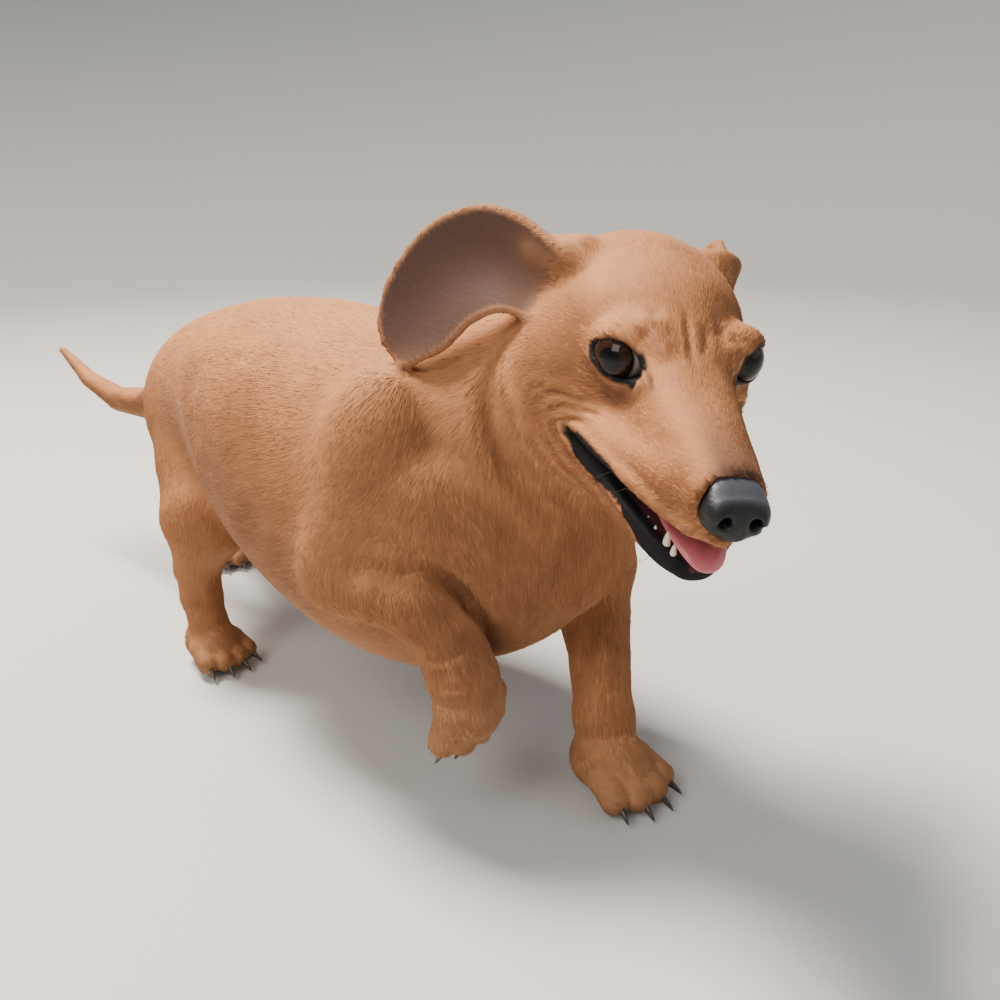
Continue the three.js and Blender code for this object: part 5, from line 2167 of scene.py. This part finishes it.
@dataclass
class Coat:
    """The short coat: tufts of hair over the skin, lying along its flow, in pieces of limited size.

    The arrays, which prepare() works out, hold a value for each vertex of the skin.
    """

    skin: Skin
    total: int = 330_000
    largest: int = 48_000
    seed: int = 7
    sway: float = 0.10
    swirl: float = 0.20
    sunk: float = 0.25
    above_floor: float = 0.2
    map_size: float = 0.003
    density: Array = field(init=False)
    length: Array = field(init=False)
    width: Array = field(init=False)
    lift: Array = field(init=False)
    flow: Array = field(init=False)

    def roots(self) -> tuple[Array, Array]:
        """Random places on the skin, by area times density.

        Returns:
            The triangles' numbers and the barycentric weights in them.
        """
        rng = np.random.default_rng(self.seed)
        net = self.skin.net
        t = net.triangles
        a, b, c = (net.vertices[t[:, k]] for k in range(3))
        area = np.linalg.norm(np.cross(b - a, c - a), axis=1) / 2
        weight = area * self.density[t].mean(1)
        chance = np.cumsum(weight) / weight.sum()
        face = np.searchsorted(chance, rng.random(self.total))
        r1, r2 = np.sqrt(rng.random(self.total)), rng.random(self.total)
        return face, np.stack([1 - r1, r1 * (1 - r2), r1 * r2], 1)

    def prepare(self) -> None:
        """Works out the coat's flow, length, width, lift and density at each vertex of the skin.

        Each is its regions' mean by their shares. The hair is shorter on the muzzle, and none grows on
        bare skin, where it would lie over bare skin, inside the ears, at the eyes and the nose leather,
        or on the floor.
        """
        body, net, normals = self.skin.body, self.skin.net, self.skin.normals
        markings = self.skin.markings
        p = net.vertices
        shares = body.shares(p)
        styles = {r.name: r.hair for r in body.regions}
        styles["head"] = body.head.hair
        flows = {r.name: r.flow(p) for r in body.regions}
        flows["head"] = body.head_flow(p)
        for ear in EARS:
            styles[ear.name] = Hair(length=3.6, width=0.32, lift=0.06, density=1.5, depth=0.4)
            tip = HEAD.place(np.array(ear.tip, float) * np.array([1, ear.side, 1]))[0]
            flows[ear.name] = unit(tip - p)

        def mean(size: str) -> Array:
            """One of the hair's sizes, as the regions' mean by their shares."""
            return sum(shares[name] * getattr(styles[name], size) for name in shares)

        flow = sum(shares[name][:, None] * unit(flows[name]) for name in shares)
        flow -= normals * (flow * normals).sum(1, keepdims=True)
        self.flow = unit(flow)
        muzzle = smooth_step(6, 44, HEAD.inside(p)[:, 0]) * shares["head"]
        self.length = mean("length") * (1 - 0.42 * muzzle)
        self.width = mean("width") * (1 - 0.2 * muzzle)
        self.lift = mean("lift")
        bare = np.max(markings.bare(p), axis=0)
        over = np.zeros(len(p))
        for reach in (0.5, 1.0):
            ends = p + self.flow * (reach * self.length)[:, None]
            over = np.maximum(over, np.max(markings.bare(ends)[:2], axis=0) * (shares["head"] > 0.5))
        hidden = Nose().distance(p) < 0.6
        for eye in EYES:
            hidden |= eye.distance(p) < 0.8
        self.density = mean("density") * (bare < 0.1) * (over < 0.3) * ~hidden * (1 + 0.7 * muzzle)
        self.density *= markings.ear_inner(p) < 0.1
        self.density *= p[:, 2] > 1.2

    def grow(self) -> Tufts:
        """Grows a tuft at each root, varied by seeded random draws and smooth noise.

        Returns:
            The tufts, whose shading normals lie near the skin's.
        """
        rng = np.random.default_rng(self.seed + 1)
        face, bary = self.roots()
        corners = self.skin.net.triangles[face]

        def at(values: Array) -> Array:
            """Values of the skin's vertices at the roots."""
            weight = bary if values.ndim == 1 else bary[..., None]
            return (values[corners] * weight).sum(1)

        root, normal = at(self.skin.net.vertices), unit(at(self.skin.normals))
        flow = at(self.flow)
        flow = unit(flow - normal * (flow * normal).sum(1, keepdims=True))
        across = np.cross(normal, flow)
        turn = rng.normal(0, self.sway, self.total) + self.swirl * mottle(root, 14, 11)
        cos, sin = np.cos(turn)[:, None], np.sin(turn)[:, None]
        flow, across = flow * cos + across * sin, across * cos - flow * sin
        length = at(self.length) * rng.normal(1.0, 0.16, self.total).clip(0.5, 1.5)
        width = at(self.width) * rng.normal(1.0, 0.15, self.total).clip(0.6, 1.5)
        lift = at(self.lift) + rng.normal(0, 0.02, self.total)
        tip = root + flow * length[:, None] + normal * (lift * length)[:, None]
        foot = root + flow * (0.02 * length)[:, None]
        left = foot - across * (width / 2)[:, None] - normal * self.sunk
        right = foot + across * (width / 2)[:, None] - normal * self.sunk
        ridge = root + normal * (0.3 * width + 0.08)[:, None] - flow * (0.1 * length)[:, None]
        vertices = np.stack([left, right, ridge, tip], 1)
        vertices[..., 2] = np.maximum(vertices[..., 2], self.above_floor)
        light = 1 + 0.10 * rng.normal(0, 1, self.total).clip(-2, 2) + 0.07 * mottle(root, 3.5, 12)
        tone = self.skin.markings.colours(root, normal) * light[:, None]
        tones = np.stack([tone * 0.88, tone * 0.88, tone * 0.95, tone * 1.08], 1)
        leans = (-0.22 * across, 0.22 * across, -0.1 * flow, 0.25 * flow)
        return Tufts(root, vertices, unit(np.stack([normal + lean for lean in leans], 1)), tones)

    def build(self) -> list[bpy.types.Object]:
        """Deals the tufts into pieces of neighbouring roots."""
        self.prepare()
        tufts = self.grow()
        patches = self.patches(tufts.roots)
        order = np.lexsort((tufts.roots[:, 1], tufts.roots[:, 0] // 60))
        finish = Finish("coat_hair", roughness=0.6, specular=0.12).material()
        pieces = []
        for number, part in enumerate(np.array_split(order, math.ceil(self.total / self.largest))):
            start = np.arange(len(part))[:, None, None] * tufts.corners
            faces = (start + np.array(tufts.faces)).reshape(-1, 3)
            piece = add_mesh(f"coat_{number + 1}", Net(tufts.vertices[part].reshape(-1, 3), faces))
            piece.data.normals_split_custom_set_from_vertices(tufts.normals[part].reshape(-1, 3))
            paint(piece, "tone", tufts.tones[part].reshape(-1, 3))
            self.unwrap(piece, patches[part], faces)
            wear(piece, finish, "coat")
            pieces.append(piece)
        return pieces

    def patches(self, root: Array) -> Array:
        """Where each root lies on an unwrap of the skin: one strip of the square for each region.

        The trunk, tail, legs and head are unrolled round their own axes, as (along, angle), and an ear is
        laid out by its own parameters, its outside beside its inside.

        Args:
            root: The tufts' roots.

        Returns:
            Places on the map, one row each.
        """
        shares = self.skin.body.shares(root)
        names = list(shares)
        which = np.argmax(np.stack([shares[n] for n in names]), axis=0)
        strips = {
            "trunk": (0.0, 0.0, 1.0, 0.42),
            "head": (0.0, 0.43, 0.55, 0.34),
            "tail": (0.0, 0.78, 0.3, 0.1),
        }
        small = [n for n in names if n not in strips]
        for i, name in enumerate(small):
            strips[name] = (0.56 + 0.22 * (i % 2), 0.43 + 0.095 * (i // 2), 0.21, 0.09)
        ears = {ear.name: ear for ear in EARS}
        regions = {r.name: r for r in self.skin.body.regions}
        out = np.zeros((len(root), 2))
        for i, name in enumerate(names):
            pick = which == i
            p = root[pick]
            if len(p) == 0:
                continue
            if name in ears:
                u, v, _ = ears[name].nearest(p)
                inner = self.skin.markings.ear_inner(p) > 0.5
                a, b = u, 0.5 * v + 0.5 * inner
            elif name == "head":
                q = HEAD.inside(p)
                a, b = (q[:, 0] + 95) / 180, np.arctan2(q[:, 1], q[:, 2] + 20) / (2 * math.pi) + 0.5
            else:
                axis = 2 if name.endswith("leg") else 0
                u, v = [k for k in range(3) if k != axis]
                rel = p - np.array(regions[name].centre)
                a = rel[:, axis] / (2 * regions[name].reach + 60) + 0.5
                b = np.arctan2(rel[:, u], rel[:, v]) / (2 * math.pi) + 0.5
            x0, y0, w, h = strips[name]
            out[pick, 0] = x0 + w * np.clip(a, 0, 1)
            out[pick, 1] = y0 + h * np.clip(b, 0, 1)
        return out

    def unwrap(self, piece: bpy.types.Object, patches: Array, faces: Array) -> None:
        """Lays each tuft on its own small square of the map OFBake.

        Args:
            piece: The piece of coat.
            patches: Where its tufts lie on the map.
            faces: Its faces.
        """
        corners = np.array([[0, 0], [1, 0], [1, 1], [0, 1]]) * self.map_size
        uv = patches[faces.ravel() // 4] * 0.996 + corners[faces.ravel() % 4]
        layer = piece.data.uv_layers.new(name="OFBake")
        layer.data.foreach_set("uv", uv.astype(np.float32).ravel())


# Studio


@dataclass(frozen=True)
class Lamp:
    """A soft square light that looks at the dog."""

    name: str
    place: Vec
    power: float
    size: float
    colour: Colour
    goal: Vec = (0.05, 0.0, 0.13)

    def build(self) -> None:
        """Adds the light, turned towards the goal."""
        data = bpy.data.lights.new(self.name, "AREA")
        data.energy, data.size, data.color = self.power, self.size, self.colour
        lamp = bpy.data.objects.new(self.name, data)
        z = unit(np.subtract(self.place, self.goal))
        x = unit(np.cross([0, 0, 1], z))
        turn = np.eye(4)
        turn[:3, 0], turn[:3, 1], turn[:3, 2], turn[:3, 3] = x, np.cross(z, x), z, self.place
        lamp.matrix_world = Matrix(turn.tolist())
        bpy.context.scene.collection.objects.link(lamp)


@dataclass
class Studio:
    """The pale floor, soft lights, world and camera, whose place and angles were fitted to the view."""

    camera_place: Vec = (428.0, -315.0, 305.0)
    yaw: float = 135.7
    pitch: float = -19.5
    roll: float = -1.2
    lens: float = 36.36
    floor_half: float = 4.8
    floor_lines: int = 96
    sky: Colour = (0.80, 0.84, 0.90)
    sky_strength: float = 0.40
    lamps: tuple[Lamp, ...] = (
        Lamp("key", (-0.65, -0.15, 1.82), 104.0, 0.6, (1.0, 0.92, 0.80)),
        Lamp("front", (0.35, -1.45, 1.45), 20.0, 1.0, (1.0, 0.96, 0.90)),
        Lamp("fill", (1.6, 0.9, 0.9), 4.5, 1.4, (0.92, 0.96, 1.0)),
    )

    def floor(self) -> None:
        """A wide pale floor that curves up like a bowl all round."""
        side = self.floor_lines
        run = np.linspace(-self.floor_half, self.floor_half, side)
        x, y = np.meshgrid(run, run, indexing="ij")
        rise = 3.0 * smooth_step(1.9, 5.6, np.hypot(x, y))
        points = (np.stack([x, y, rise], -1).reshape(-1, 3) + PLACE.shift) * MM_PER_METRE
        i, j = np.meshgrid(np.arange(side - 1), np.arange(side - 1), indexing="ij")
        at = i * side + j
        faces = np.stack([at, at + side, at + side + 1, at + 1], -1).reshape(-1, 4)
        floor = add_mesh("floor", Net(points, faces))
        paper = Finish("floor_paper", roughness=0.85, colour=(0.62, 0.61, 0.59))
        floor.data.materials.append(paper.material())

    def world(self) -> None:
        """An even pale sky."""
        world = bpy.data.worlds.new("studio")
        world.use_nodes = True
        background = world.node_tree.nodes["Background"]
        background.inputs["Color"].default_value = (*self.sky, 1)
        background.inputs["Strength"].default_value = self.sky_strength
        bpy.context.scene.world = world

    def camera(self) -> None:
        """The camera, looking along yaw and pitch, rolled a little."""
        yaw, pitch, roll = (math.radians(a) for a in (self.yaw, self.pitch, self.roll))
        ahead = np.array([math.cos(yaw) * math.cos(pitch), math.sin(yaw) * math.cos(pitch), math.sin(pitch)])
        flat = unit(np.cross(ahead, [0, 0, 1]))
        over = np.cross(flat, ahead)
        right = flat * math.cos(roll) + over * math.sin(roll)
        up = over * math.cos(roll) - flat * math.sin(roll)
        turn = np.eye(4)
        turn[:3, 0], turn[:3, 1], turn[:3, 2] = right, up, -ahead
        turn[:3, 3] = PLACE(np.array(self.camera_place))
        data = bpy.data.cameras.new("camera")
        data.sensor_width, data.lens = 36.0, self.lens
        data.clip_start = 0.01
        camera = bpy.data.objects.new("camera", data)
        camera.matrix_world = Matrix(turn.tolist())
        bpy.context.scene.collection.objects.link(camera)
        bpy.context.scene.camera = camera

    def build(self) -> None:
        """Sets up everything round the dog."""
        self.floor()
        self.world()
        self.camera()
        for lamp in self.lamps:
            lamp.build()


def main() -> None:
    """Builds the studio and the dog's pieces in order and reports each."""
    logging.basicConfig(level=logging.INFO, format="%(message)s")
    Studio().build()
    body = Body()
    skin = Skin(body, Markings(body))
    skin.build()
    Eyeball(EYES[0], "eye_right", (0.68, -0.73, 0.02)).build()
    Eyeball(EYES[1], "eye_left", (0.90, 0.36, 0.05)).build()
    Nose().build()
    Tongue().build()
    Teeth().build()
    Claws().build()
    Whiskers().build()
    Coat(skin).build()


if __name__ == "__main__":
    main()
